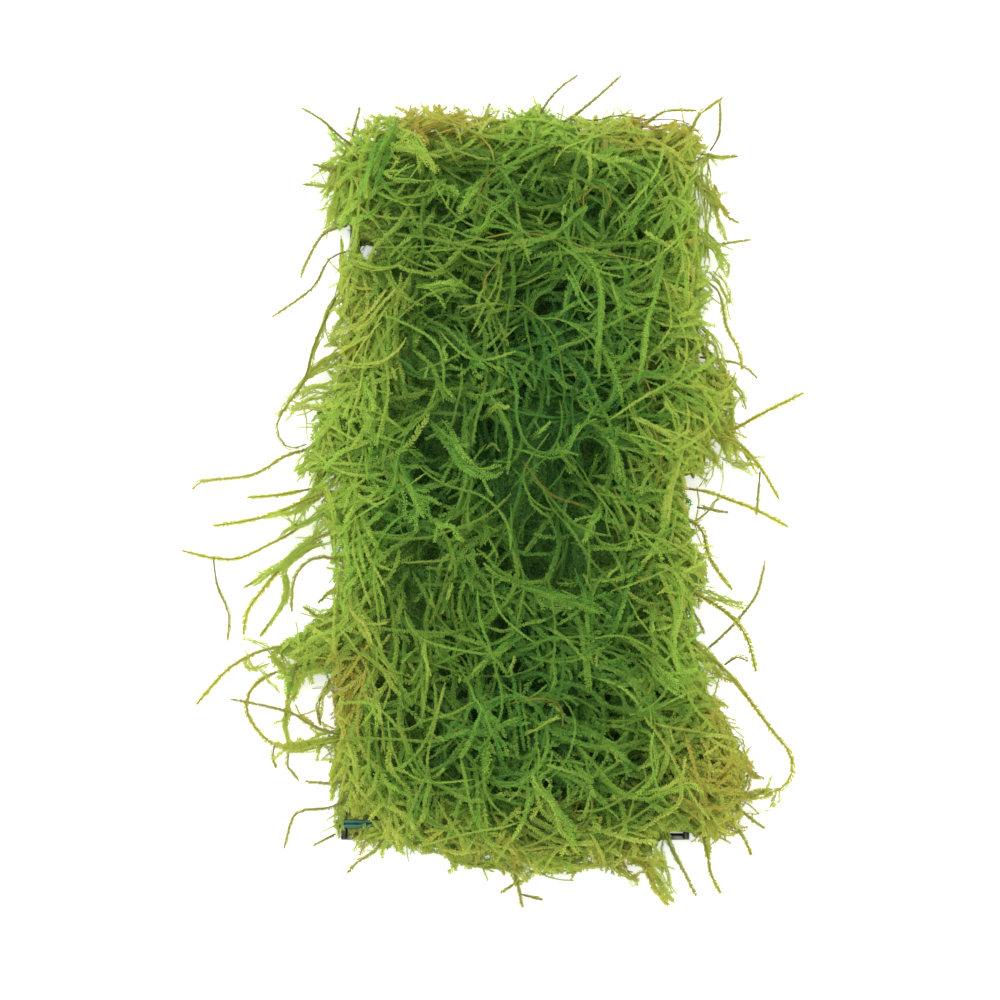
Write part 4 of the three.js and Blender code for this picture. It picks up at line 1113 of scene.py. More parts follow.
PALE_SHEEN_STRANDS = [
    [1, 0.2, 0.35, (-0.2, 61.6), (2.5, 59.2), (5.9, 56.8)],
    [2, 0.4, 0.45, (8.9, 65.9), (8.4, 62.3), (7.5, 57.5)],
    [2, 0.4, 0.45, (14.5, 55.2), (15.2, 53.5), (14.8, 50.6)],
    [1, 0.3, 0.4, (-17.4, 32.5), (-18.5, 28.5), (-18.2, 23.3)],
    [1, 0.3, 0.4, (-10.6, 25.7), (-8.1, 24.2), (-5.4, 22.8)],
    [2, 0.5, 0.5, (-9.4, 13.1), (-6.7, 14.3), (-3.4, 14.1)],
    [2, 0.5, 0.45, (-23.1, -33.1), (-22.6, -39.4), (-22.1, -45.1), (-21, -50.2)],
    [1, 0.3, 0.4, (-21.6, -58.7), (-18.1, -60.1)],
    [2, 0.4, 0.35, (-1.5, -59.2), (2.8, -56.9), (7.6, -54.8)],
    [1, 0.3, 0.4, (4.2, -51.8), (6.1, -53), (7.2, -55.7)],
    [1, 0.3, 0.4, (-13.9, -22), (-13.2, -25.2), (-11.9, -28.9)],
    [1, 0.3, 0.4, (-21.9, -24.3), (-21.4, -28.2), (-20.7, -31.5)],
    [1, 0.3, 0.4, (-16.6, -23.1), (-17.2, -26.6), (-18.1, -28.9)],
    [1, 0.3, 0.4, (20.6, -18.7), (19.4, -22), (17, -24.3)],
    [1, 0.3, 0.4, (9.9, 26.8), (11.2, 22.6), (12.1, 17.9)],
    [2, 0.5, 0.45, (-5.9, -43.1), (-4.2, -45.6), (-2.9, -41)],
    [1, 0.3, 0.4, (2.9, -31.7), (5.5, -30.6), (9.9, -30.8)],
    [1, 0.3, 0.4, (11.6, -39.6), (14.5, -38.2), (16, -37.3)],
    [1, 0.3, 0.35, (28.2, -31.7), (27.5, -34.7), (26.8, -36.8)],
    [1, 0.3, 0.35, (16.8, -61.7), (18.7, -63.5), (20.6, -65.8)],
    [1, 0.3, 0.4, (18.9, -70.8), (18.4, -73.8)],
    [1, 0.3, 0.4, (-26.6, -55.7), (-24.7, -55), (-22.9, -56.4)],
    [1, 0.3, 0.4, (-17.3, -43.1), (-15.6, -45.1), (-14.7, -47.4)],
    [1, 0.3, 0.35, (-6.8, 32.1), (-4.7, 29.9), (-3.4, 27.3)],
    [1, 0.3, 0.35, (-10.9, 5.1), (-8.3, 6.1), (-5.4, 4.4)],
]
ROPE_WIDTH = 0.8
ROPE_SHARE = 0.8
ROPE_OVERLAP = 0.35
PALE_SHEEN_TONE = 0.56
# Painted light: the ropes lie on top of the pad and are set lighter as its lit tops; the pale strands are
# set lighter still, as painted highlight.
rope_parts = []
for count, width, reach, *points in ROPES:
    rope_parts.append(laid(
        bundle(points, round(ROPE_SHARE * count), ROPE_WIDTH * width, ROPE_OVERLAP), heights=(0.98, 1.06),
        reach=(0.66 * reach, 0.94 * reach), extra_light=0.22, clear_share=0.7, may_cross=True,
    ))
pale_sheen_parts = []
for count, width, reach, *points in PALE_SHEEN_STRANDS:
    pale_sheen_parts.append(laid(
        bundle(points, count, width), heights=(1.02, 1.08), reach=(0.9 * reach, reach), extra_light=0.3,
        clear_share=0.2, may_cross=True,
    ))
ropes = joined(*rope_parts)
ropes["light"] += random.normal(0, 0.08, len(ropes["route"]))
ropes["open"] *= 1.15
ropes["spread"] += 0.1
pale_sheen_strands = joined(*pale_sheen_parts)
pale_sheen_strands["tone"] = np.full(len(pale_sheen_strands["route"]), PALE_SHEEN_TONE)

# One bundle at the far left corner is a fresher, bluer green than the rest.
FRESH_GREEN = [(-28.5, 88.0), (-31.0, 82.0), (-33.0, 76.5), (-36.0, 70.0), (-39.0, 64.0)]
fresh_green = laid(
    bundle(FRESH_GREEN, 9, 3.0, ROPE_OVERLAP), heights=(1.02, 1.14), reach=(0.5, 0.7), clear_share=0.2,
    may_cross=True,
)
fresh_green["tone"] = random.normal(0.69, 0.05, len(fresh_green["route"]))
fresh_green["light"] = random.normal(0.64, 0.1, len(fresh_green["route"]))

# Top shoots: the freshest, in loose sheaves between the ropes, and the short branches of both. The
# sheaves are set a little lighter, partly as painted light on the top of the pad.
loose_sheaves = sheaves(
    210, 2, 1.6, (24, 50), 0.055, 1, heights=(0.94, 1.03), reach=(0.36, 0.62), extra_light=0.06,
    clear_share=0.8,
)
loose_sheaves["open"] *= 1.1
loose_sheaves["spread"] += 0.08
top_shoots = joined(
    ropes, pale_sheen_strands, fresh_green, loose_sheaves, side_branches(ropes, 90, (3, 7)),
    side_branches(loose_sheaves, 150, (3, 8)),
)
add_moss("top_moss", top_shoots, ["moss_pad"])

# Thin strands: fine new growth with small leaves, which loops over everything else.
strand_plan = strewn(110, 3, (14, 38), 0.07)
strand_plan = cut_back(strand_plan, random.uniform(-1, 3, len(strand_plan)))
thin_strands = at_heights(strand_plan, (0.97, 1.07), (0, 2), (-1.5, 1.5), reach=(0.32, 0.46))
thin_strands["light"] += random.uniform(-0.1, 0.25, len(strand_plan))
thin_strands["tone"] -= 0.02
add_moss("thin_moss", thin_strands, ["moss_pad"])

# Bare stems: a few old stems that have lost all but scraps of their leaves, reddish or straw
# coloured, each as its tone and its way, with the last few short branches of the top.
BARE_STEMS = [
    [0.36, (-9.5, 55), (-1, 56), (9, 54), (16.5, 51.5), (28, 49)],
    [0.3, (13, 62), (13, 65), (15, 67), (18, 66.5), (19.3, 63), (18, 61)],
    [0.24, (26, 24), (27, 20), (29, 16)],
    [0.3, (-4, -52), (3, -51), (7, -52.5), (7.5, -57)],
    [0.26, (-9, 60), (-11, 66), (-7, 72)],
    [0.3, (-8, 36), (-10, 44), (-6, 50)],
    [0.3, (28, 11), (30, 4), (29, -3)],
    [0.26, (8, 87), (17, 88.5), (29, 88), (41, 84)],
]
BARE_HEIGHT, BARE_SINK, BARE_LIFT = 1.02, 1.0, 0.3
BARE_REACH, BARE_THICK, BARE_LIGHT = 0.28, 0.24, 0.62
each_bare = np.ones(len(BARE_STEMS))
bare_plan = np.stack([evenly(points) for _, *points in BARE_STEMS])
bare_route = raised(bare_plan, BARE_HEIGHT * each_bare, BARE_SINK * each_bare, BARE_LIFT * each_bare)
bare_stems = coloured(bare_route, BARE_REACH * each_bare)
bare_stems["open"] *= 1.6
bare_stems["stem"] = BARE_THICK * each_bare
bare_stems["tone"] = np.array([tone for tone, *_ in BARE_STEMS])
bare_stems["light"] = BARE_LIGHT * each_bare
add_moss("bare_stems", joined(bare_stems, side_branches(top_shoots, 60, (3, 6))), ["moss_pad"])

# Edge shoots: they fan outwards all round the pad, from the mesh up to the top, and thin out so
# that the white table shows between them. Each layer: number, heights, length, leaf reach, how far
# past the edge, start between two distances from it, fan and turn off the straight way out.
EDGE_LAYERS = [
    (560, (0.05, 0.98), (8, 18), (0.45, 0.75), (-1.5, 1.5), 3, 10, 0.8, 0.0),
    (640, (0.02, 0.9), (12, 30), (0.42, 0.7), (-1.5, 0.5), 1, 7, 1.7, 0.0),
    (200, (0.1, 1.0), (10, 24), (0.28, 0.4), (0, 3.5), 1, 8, 1.4, 0.0),
    (260, (0.1, 0.95), (10, 26), (0.42, 0.7), (-0.3, 0.6), 0.3, 4, 0.2, math.pi / 2),
]
FAR_EDGE_FROM, FAR_EDGE_WIDTH, FAR_EDGE_TO, FAR_EDGE_BEYOND = 74, 6, 22, 3
EDGE_BEND, EDGE_SINK, EDGE_LIFT = 0.07, (0, 1), (-2, 1.5)


def edge_shoots(count, heights, length, reach, beyond, nearest_edge, furthest_edge, fan, turned):
    """One layer of edge shoots; those of the far edge reach further out."""
    start = places_in(count, nearest_edge, furthest_edge)
    outward = np.arctan2(-at(slope_y, start), -at(slope_x, start))
    heading = outward + turned * random.choice([-1, 1], count) + random.normal(0, fan, count)
    plan = wander(start, heading, random.uniform(*length, count), EDGE_BEND)
    far_edge = np.clip((start[:, 1] - FAR_EDGE_FROM) / FAR_EDGE_WIDTH, 0, 1) * (start[:, 0] < FAR_EDGE_TO)
    plan = cut_back(plan, random.uniform(*beyond, count) + FAR_EDGE_BEYOND * far_edge)
    return at_heights(plan, heights, EDGE_SINK, EDGE_LIFT, reach)


TUFT_OVERLAP, TUFT_CLOSING, TUFT_THICK = 0.3, 0.6, (-0.6, 0.6)
TUFT_REACH = (0.7, 1.15)
# Painted light and shade: tufts hanging out over the white table are set light, as thin moss lit through
# from the table, and keep little of the painted shade from depth.
TUFT_TONE, TUFT_LIGHT, TUFT_SCATTER, TUFT_DEEP = 0.03, 0.78, 0.08, 0.2
LOWEST_TUFT = 0.6


def tuft(count, width, reach, guide):
    """Shoots that keep together along one guide, closing up towards its tip."""
    route = beside(np.repeat(guide[None], count, 0), width, TUFT_OVERLAP, TUFT_CLOSING)
    route[..., 2] += random.uniform(*TUFT_THICK, (count, 1))
    route[..., 2] = np.maximum(route[..., 2], LOWEST_TUFT)
    shoots = coloured(route, reach * random.uniform(*TUFT_REACH, count))
    shoots["tone"] += TUFT_TONE
    shoots["light"] = random.normal(TUFT_LIGHT, TUFT_SCATTER, count)
    shoots["deep"] *= TUFT_DEEP
    return shoots


# Tufts and lace of the edge, each where it hangs out over the table, as number of shoots, width,
# leaf reach and guide.
EDGE_TUFTS = [
    # left lobe
    [12, 4.6, 0.75, (-39.5, -35.7, 8), (-46.4, -36.2, 6), (-50.9, -37.1, 5), (-55.5, -38.1, 4),
     (-58.9, -39.7, 3)],
    [11, 4.2, 0.75, (-39.5, -41.9, 7), (-46.4, -41.7, 5), (-49.8, -42.5, 4), (-52.1, -44.8, 3),
     (-53.2, -48, 2), (-53.5, -50.4, 1.5)],
    [7, 3.4, 0.7, (-58.3, -37.5, 3.5), (-54.9, -41.1, 3), (-52.8, -45.6, 2.5)],
    [3, 1.2, 0.6, (-53.2, -48.7, 2), (-54.1, -52.5, 1.5), (-54.3, -57, 1.2), (-53.5, -60.9, 1.2)],
    [8, 2.6, 0.7, (-39.3, -57.4, 6), (-45, -58.6, 4), (-49.6, -59.7, 3), (-53.4, -60.2, 2),
     (-57.6, -58.5, 1.5)],
    [2, 1, 0.5, (-58.3, -38.3, 3), (-62, -36.1, 2.4), (-65.8, -36.8, 1.2)],
    [3, 1.6, 0.5, (-58.2, -41.1, 3), (-61, -43, 2.4), (-63.3, -41.8, 1.8), (-65, -38.9, 1.4)],
    [2, 0.8, 0.4, (-60.5, -42.8, 2.4), (-57.3, -46.6, 2), (-54.2, -49.5, 1.6)],
    [1, 0.3, 0.3, (-40.7, -47.3, 4), (-46.5, -47, 2.4), (-51.5, -46.8, 1.5)],
    [2, 1.2, 0.5, (-42.2, -44.5, 6), (-45.8, -48.7, 5), (-46.9, -53, 4), (-45.8, -57.7, 3.4)],
    [2, 1, 0.5, (-52.8, -50.9, 1.4), (-49.8, -54.6, 1.6), (-45.9, -56.6, 2.4)],
    [1, 0.4, 0.4, (-46.6, -57.6, 4), (-44.9, -60.9, 3), (-42.6, -64.8, 2.4)],
    [2, 1.2, 0.5, (-40.7, -31.8, 7), (-44.2, -32.3, 6), (-47, -30.9, 5), (-50.3, -28.1, 4)],
    [4, 2.4, 0.7, (-39.7, -21.3, 8), (-42.7, -24.1, 6), (-46.2, -27.4, 4)],
    [3, 2, 0.6, (-40.4, -63.6, 5), (-42.7, -66.6, 3), (-44.2, -69, 1.5)],
    # left loops
    [2, 0.8, 0.4, (-43, 53.1, 4), (-43.8, 45.9, 4), (-46, 41.1, 4), (-47.4, 35.8, 3.6),
     (-49.4, 31.1, 3.2)],
    [2, 0.8, 0.4, (-47.4, 35.8, 3.6), (-49.4, 31.1, 3.2), (-50.3, 26.4, 3), (-53.2, 23, 2.6),
     (-58.2, 15.3, 2)],
    [4, 2, 0.6, (-38.1, 35.7, 7), (-44.1, 29.1, 5), (-48.1, 26.9, 4), (-54.3, 22, 3)],
    [4, 2, 0.6, (-38.9, 24.2, 7), (-45.2, 22, 5), (-49.4, 22.2, 4), (-56.5, 19, 3)],
    [4, 2, 0.6, (-39.6, 22.8, 7), (-46.2, 17, 5), (-51.6, 18.2, 4), (-58.5, 16.2, 3)],
    [3, 1, 0.5, (-40.4, 43.6, 6), (-42, 39.5, 5), (-45.2, 34.5, 4), (-41.7, 30.7, 4)],
    [3, 1.2, 0.5, (-39.6, 38.2, 7), (-45.1, 33.1, 5), (-48.3, 31.6, 4)],
    [4, 1.6, 0.6, (-40.1, 28.2, 6), (-45.1, 27.9, 4), (-50.1, 27, 3.4)],
    [3, 1.6, 0.5, (-41.9, 44.3, 7), (-46.5, 40.4, 4), (-47.2, 36.1, 3), (-45.3, 31.9, 3)],
    [1, 0.4, 0.4, (-47, 35.7, 3), (-49.5, 32.6, 2), (-50.2, 28.8, 2), (-49.2, 26.9, 2)],
    [4, 1.8, 0.6, (-40.5, 30.8, 8), (-46.2, 29.3, 5), (-49.5, 26.1, 3.6), (-52.8, 22.5, 2.4)],
    [4, 1.8, 0.6, (-40.4, 21.6, 7), (-46.3, 20.6, 5), (-51, 19.4, 4), (-54.2, 17.9, 3), (-56.4, 15.3, 2)],
    [1, 0.4, 0.4, (-51.3, 19.3, 3), (-51.3, 15.9, 2.4), (-50.7, 12.2, 2.4), (-50.6, 8.7, 3)],
    [5, 3, 0.6, (-45.6, 21, 5), (-47, 16.8, 4), (-45.1, 12.1, 4), (-47.8, 8.1, 4), (-51, 5.9, 3)],
    [4, 2.6, 0.6, (-44.9, 10.5, 6), (-49.2, 8.5, 4), (-51.9, 4.5, 3), (-54.3, 1.9, 2)],
    [2, 1, 0.5, (-44, 23.9, 6), (-47.6, 22.7, 4), (-52.3, 23.1, 3), (-54.2, 24, 2)],
    # left fan
    [6, 3, 0.7, (-41.2, 3, 8), (-46.9, -2.5, 6), (-51.6, -5.6, 4.4), (-54.8, -6.8, 3.4),
     (-60.9, -7.5, 2.2)],
    [6, 3.2, 0.7, (-41.3, 10, 8), (-45.9, 3.4, 6), (-50.5, -4.5, 4.4), (-55.1, -10, 3)],
    [5, 2.2, 0.7, (-41.1, -12, 7), (-46.4, -13.5, 5), (-53.1, -16.8, 3), (-58.8, -20.5, 2),
     (-63.6, -23.6, 1.2)],
    [4, 1.6, 0.7, (-44.5, -10.6, 6), (-50.3, -14.4, 4), (-54.9, -19.8, 3), (-54.7, -23.3, 2),
     (-56, -28.7, 1.4), (-59.9, -34.5, 1.2)],
    [4, 1.6, 0.5, (-42.4, -3.6, 6), (-48.1, -8, 4.4), (-53.2, -10, 3), (-58.5, -13.5, 2)],
    [6, 3.4, 0.6, (-42.5, 6.7, 7), (-46.7, 5.4, 5.6), (-50.4, 3.7, 4.4), (-52.7, 1.1, 3.4)],
    [5, 3, 0.6, (-41.1, -7.3, 7), (-44.6, -8.3, 6), (-47.3, -10.9, 5), (-48.7, -14.4, 4)],
    # right web
    [6, 2.8, 0.7, (37.1, 25.9, 9), (43.2, 24.4, 7), (46.1, 20.1, 5), (46.5, 14.3, 4.4),
     (46.6, 8.5, 4), (46.9, 4, 3)],
    [3, 1.6, 0.6, (44.7, 25.5, 6), (48.4, 22.5, 5), (50.3, 19.1, 4), (51.4, 15.8, 3)],
    [4, 3, 0.5, (44.5, 10.7, 5), (47.8, 8.1, 4), (50.6, 5.7, 3), (53.2, 3.8, 2)],
    [3, 2.4, 0.4, (45.9, 5.7, 4), (49.9, 4, 3), (52.7, 3.6, 2)],
    [1, 0.3, 0.3, (44.8, 6.2, 4), (45, 1.7, 3), (44.8, -2.9, 2.4)],
    [1, 0.3, 0.3, (43.3, 3.6, 5), (41.3, 0.3, 4), (40.2, -2, 3)],
    [2, 1, 0.4, (44.8, -2.9, 2.4), (42.2, -5.8, 3), (39.8, -8.4, 3.4), (36.3, -9.7, 4)],
    [1, 0.4, 0.4, (39.3, -5.7, 5), (42.2, -5.8, 3), (45.6, -6.7, 2)],
    [1, 0.3, 0.3, (39, 79, 6), (38.8, 74, 5), (38.9, 69, 5), (39.6, 64, 5)],
    [2, 0.8, 0.4, (41.6, 79, 5), (41.4, 74, 4), (41.6, 69, 4), (41.2, 62, 5)],
    [2, 0.6, 0.4, (43, 79, 5), (42.9, 74, 4), (42.8, 68, 4), (43.6, 61, 4)],
    [1, 0.3, 0.3, (44.6, 76, 4), (44.8, 70, 3), (44.6, 65, 4), (47, 60, 4)],
    [6, 3, 0.6, (38.6, 75, 7), (42, 70.5, 6), (45, 67, 5), (48, 64.2, 3)],
    [4, 2, 0.5, (44.6, 75, 4), (45, 70, 4), (45.2, 64, 4), (47.4, 58, 4)],
    [6, 3, 0.6, (39.6, 62, 7), (42.6, 58, 6), (45.6, 54, 5), (47.2, 49, 4)],
    [4, 2.2, 0.5, (39.8, 50.3, 8), (44.6, 47.9, 6), (46.5, 43.8, 5), (48.2, 38.3, 3)],
    [4, 2.2, 0.5, (39.6, 36, 8), (43.9, 31.7, 6), (45.3, 27.2, 5), (48, 23.1, 4)],
    [4, 2, 0.6, (36.5, -25, 8), (41.6, -26.5, 6), (46.9, -28.1, 4), (50.9, -28.4, 2)],
    [5, 2.4, 0.6, (36.3, -38.9, 8), (39.6, -40.8, 6), (42.8, -44.1, 4), (46.7, -45.7, 3)],
    [5, 1.4, 0.5, (34, -34.4, 9), (38.6, -38.4, 7.4), (43.4, -42.4, 5), (46.9, -45.9, 3.6),
     (50.4, -50.4, 2.6)],
    [3, 1.4, 0.4, (40.4, 78, 5), (40.2, 70.1, 5), (40.2, 62.1, 5), (39.8, 56, 5)],
    [3, 1.2, 0.4, (42.4, 76, 4), (42.6, 68.3, 4), (42.4, 60.3, 4), (42.3, 50, 4)],
    [8, 3.4, 0.7, (36.4, 14.9, 8), (40.6, 12.4, 7), (44.2, 9.8, 6), (46.4, 4.1, 5)],
    [8, 3.4, 0.7, (38.7, 15.8, 8), (42.9, 13.6, 7), (46.1, 11, 5.6), (47.2, 3.7, 4.6)],
    [7, 3, 0.6, (36.2, 10.2, 8), (40.2, 8.1, 7), (43.3, 6.2, 5), (45, 2.8, 4)],
    [3, 1.2, 0.4, (41.5, 5.8, 5), (47.7, 4.6, 4), (53.9, 4.4, 3)],
    [1, 0.3, 0.35, (38.9, 2.5, 5), (38.8, -4.9, 4.4), (38.6, -10.7, 4), (40, -17.7, 4)],
    [1, 0.3, 0.35, (38.9, -2.4, 4), (40.9, 1.1, 4), (43.1, 4.8, 5)],
    # near right
    [6, 2.6, 0.6, (44.4, -69.7, 6), (49, -71.6, 4), (52.9, -70.7, 3), (56.6, -69.6, 2)],
    [3, 1.6, 0.5, (56.4, -69.8, 2), (55, -72.5, 2), (54, -74.4, 2)],
    [1, 0.4, 0.4, (47.3, -74.8, 3), (50.7, -74.7, 2.4), (54.5, -73.7, 2)],
    [4, 2, 0.6, (46, -62.9, 7), (49.5, -65.9, 5), (52.4, -67.5, 4)],
    [2, 0.8, 0.4, (44, -58.1, 6), (47.4, -58.3, 5), (48, -61.3, 5), (46.6, -64.5, 5)],
    [5, 3, 0.6, (37.3, -47.2, 8), (41.9, -50, 6), (45.2, -50.5, 4)],
    [6, 3, 0.6, (23.8, -83.2, 6), (27.1, -88, 4), (30, -92.3, 3), (32, -95.2, 2)],
    [3, 1.4, 0.5, (27.6, -82.3, 5), (29.8, -85.7, 4), (31.1, -90.5, 3), (33.1, -93.9, 2)],
    [3, 0.8, 0.5, (28.4, -75, 9), (30, -79, 7.5), (31.3, -82.4, 5.8), (34.5, -88, 3.6)],
    [4, 2.4, 0.5, (38.2, -76.1, 5), (43.9, -78.7, 3), (49.5, -78, 2)],
    [4, 2, 0.6, (38.1, -76.3, 6), (39.1, -81.1, 4), (39.6, -85.5, 3)],
    # far
    [4, 2, 0.6, (-36, 81.3, 9), (-34.7, 85.1, 8), (-34.9, 89.6, 6)],
    [4, 2, 0.7, (-30.6, 78.7, 10), (-31.4, 83.7, 9), (-32, 88.5, 7)],
    [5, 3.2, 0.6, (-28.3, 81.3, 9), (-27.3, 86, 7), (-26.5, 90.6, 5), (-25.7, 93.2, 4)],
    [4, 2.2, 0.6, (-41.2, 77.9, 8), (-44.2, 81.9, 6), (-47.4, 85.5, 5)],
    [4, 2.2, 0.6, (-40, 75.5, 8), (-44.9, 75.6, 5), (-49.8, 77, 3)],
    [3, 1.6, 0.5, (-41.1, 70.7, 8), (-47.1, 71.3, 5), (-52.5, 72.9, 3)],
    [3, 1.4, 0.5, (-13.7, 82.5, 9), (-15.4, 87.7, 7), (-16.9, 91.8, 5)],
    [2, 0.8, 0.4, (-9.8, 85.1, 8), (-8.7, 90.1, 6), (-6.8, 89.6, 6), (-5.4, 87.7, 6)],
    [5, 3, 0.6, (-1.6, 83.5, 10), (1.2, 88.3, 8), (3.3, 92.1, 6)],
    [4, 2, 0.5, (40.2, 76.7, 8), (43.2, 79, 6), (45.6, 78.8, 5), (49.3, 79.2, 3)],
    [5, 2.4, 0.6, (-39.2, 83.6, 8), (-42.8, 78, 6.5), (-46, 72.9, 5), (-47.5, 66.1, 4)],
    [4, 2.4, 0.6, (-39.8, 75.5, 8), (-43.6, 69.2, 6), (-46.2, 62.8, 5), (-46.2, 57.2, 4)],
    [3, 1.8, 0.5, (-41, 79.5, 7), (-46.3, 78, 5), (-50, 76.8, 3)],
    [3, 1.8, 0.5, (-40.1, 70.8, 7), (-44.7, 68.2, 5), (-48.2, 64.9, 4)],
    # left rim, beside the white slots
    [9, 4.2, 0.75, (-39.5, 78, 9), (-41.6, 75.5, 8), (-42.9, 71.1, 6), (-44.3, 66.5, 5),
     (-44.8, 62, 3.6)],
    [5, 2.6, 0.7, (-40.6, 74.3, 8), (-41.1, 68.5, 7), (-41.6, 63.9, 6), (-41.2, 61, 5)],
    [1, 0.3, 0.35, (-43.3, 61.2, 4), (-43.3, 56.1, 3), (-43.5, 50.2, 3), (-43.4, 44.2, 3),
     (-45.7, 41.4, 2.6)],
    [2, 1.2, 0.4, (-39.8, 61.7, 5), (-39.8, 58.3, 4), (-39.5, 53.1, 4), (-39.6, 47.4, 5)],
    [1, 0.3, 0.3, (-42.6, 53.3, 3), (-39.7, 54, 4), (-36.8, 56.5, 6), (-34.4, 57.5, 8)],
    [1, 0.3, 0.3, (-42.2, 60.7, 4), (-39.8, 59.3, 4), (-37.4, 56.7, 5)],
    [2, 0.8, 0.4, (-41.5, 40.2, 5), (-40.8, 36.7, 5), (-42, 33.3, 4), (-44.4, 33.5, 3)],
    # near left corner, under the tie
    [7, 2.4, 0.6, (-39.9, -70.8, 3), (-38, -73.5, 2.4), (-35.8, -74.8, 2), (-30.2, -75.9, 2)],
    [6, 1.6, 0.6, (-41.9, -79.2, 1.4), (-37.8, -79.2, 1.3), (-34.5, -79.4, 1.3), (-29.9, -79.7, 1.3)],
    [6, 2, 0.6, (-38.9, -71.4, 2.6), (-38.9, -74.8, 2), (-38.7, -77, 1.6), (-38.5, -80.6, 1.2)],
    [6, 2, 0.6, (-36.7, -71.3, 3), (-36.5, -74.8, 2), (-36.2, -77, 1.6), (-36.2, -80.6, 1.2)],
    [6, 2, 0.6, (-34.4, -72, 3), (-34.4, -74.9, 2.4), (-34.2, -77, 1.8), (-34.2, -81, 1.2)],
    # near left corner, over the tie
    [8, 3.6, 0.75, (-36.9, -46, 9), (-39.9, -50.4, 8), (-41.4, -55.1, 6), (-42.4, -59.2, 4),
     (-43, -65.1, 3)],
    [8, 3.6, 0.75, (-38, -53.9, 8), (-40, -58.7, 6), (-41.6, -63.1, 5), (-43, -66.8, 4),
     (-44.2, -72.1, 3)],
    [8, 3.6, 0.75, (-37.4, -60.1, 8), (-39, -64.9, 6), (-40.4, -69.3, 5), (-41, -76.5, 4)],
    [9, 3.8, 0.75, (-35.9, -63.1, 8), (-37.6, -68.1, 7), (-38.7, -72, 6), (-38.9, -76.4, 5)],
    [9, 3.8, 0.75, (-32.5, -66.5, 8), (-34.5, -70.4, 7), (-36, -73.4, 6), (-36.6, -76.4, 5)],
    [9, 3.8, 0.75, (-28.7, -68.9, 8), (-31, -72.2, 7), (-32.8, -74.7, 6), (-33.8, -76.6, 5)],
    [9, 3.8, 0.75, (-25.8, -71.1, 8), (-28.5, -75, 6), (-30, -78, 5), (-30.6, -81, 4)],
    [9, 3.8, 0.75, (-22.6, -73.5, 8), (-25.4, -77.3, 6), (-27.2, -80, 4), (-29, -81.6, 3)],
    [6, 3.2, 0.7, (-27.5, -80, 5), (-31.9, -81, 4), (-35.6, -81.8, 3)],
    [5, 2, 0.6, (-26, -80.2, 4), (-31, -80.5, 3.8), (-36.2, -80.4, 3.4), (-39, -80.8, 3)],
    [6, 2.2, 0.5, (-40.9, -70.7, 5), (-41.6, -74.3, 4.6), (-41.9, -77.6, 4.2), (-41.7, -80.8, 3.4)],
    # near
    [5, 3, 0.6, (-34.2, -77.7, 5), (-36.5, -81.4, 3), (-38.3, -84.1, 2)],
    [5, 3, 0.6, (-24.1, -78.4, 5), (-23.2, -81.8, 3), (-22.8, -84, 1.5)],
    [5, 3, 0.6, (-14.3, -80.9, 6), (-13.5, -85, 4), (-13.3, -87.4, 1.5)],
    [4, 1.8, 0.6, (-2.9, -84.3, 6), (-2.6, -88.2, 3), (-2.9, -91.2, 2)],
    [3, 1.6, 0.5, (4, -85.7, 6), (1.1, -88.2, 3), (-1.8, -90.5, 2)],
    [4, 3, 0.6, (7.3, -85.4, 6), (6.4, -87.5, 4), (5.5, -88.4, 2)],
    [5, 3, 0.6, (18.2, -84.3, 6), (20.9, -87.5, 4), (25.4, -90.7, 2)],
]
edge_tufts = joined(
    *[tuft(count, width, reach, evenly(points)) for count, width, reach, *points in EDGE_TUFTS]
)
fringe = joined(*[edge_shoots(*layer) for layer in EDGE_LAYERS], edge_tufts)
fringe = joined(fringe, side_branches(fringe, 420, (2, 5), spread=1.1))
# Painted shade: the fringe keeps half of the painted shade from depth.
fringe["deep"] *= 0.5
on_left = fringe["route"][:, 0, 0] < 0
add_moss("left_edge_moss", picked(fringe, on_left), ["moss_pad"])
add_moss("right_edge_moss", picked(fringe, ~on_left), ["moss_pad"])

# Underside: moss that has grown down into the openings of the mesh and shows from below. It bulges
# in the middle of each opening and draws back at the wires.
UNDER_DIP = 2.2
UNDER_ROUNDNESS = 0.6
UNDER_LAYER = (0, 1.2)
under_plan = strewn(700, 2, (8, 18), 0.08)
under_plan = cut_back(under_plan, np.zeros(len(under_plan)))
across_wires = np.sin(math.pi * (under_plan[..., 0] - MESH_MIDDLE) / COLUMN_PITCH)
opening = np.abs(across_wires * np.sin(math.pi * under_plan[..., 1] / ROW_PITCH))
under_height = at(base, under_plan) + GAP - UNDER_DIP * opening**UNDER_ROUNDNESS
under_height += random.uniform(*UNDER_LAYER, (len(under_plan), 1))
under_route = np.concatenate([under_plan, np.maximum(under_height, LOWEST_STEM)[..., None]], 2)
# Painted shade: the underside moss is set a little darker, without the painted shade from depth under the
# pad's top.
under_shoots = coloured(under_route, random.uniform(0.5, 0.9, len(under_route)), 0.2)
under_shoots["open"] *= 2.6
under_shoots["deep"] *= 0
add_moss("underside_moss", under_shoots, ["moss_pad"])

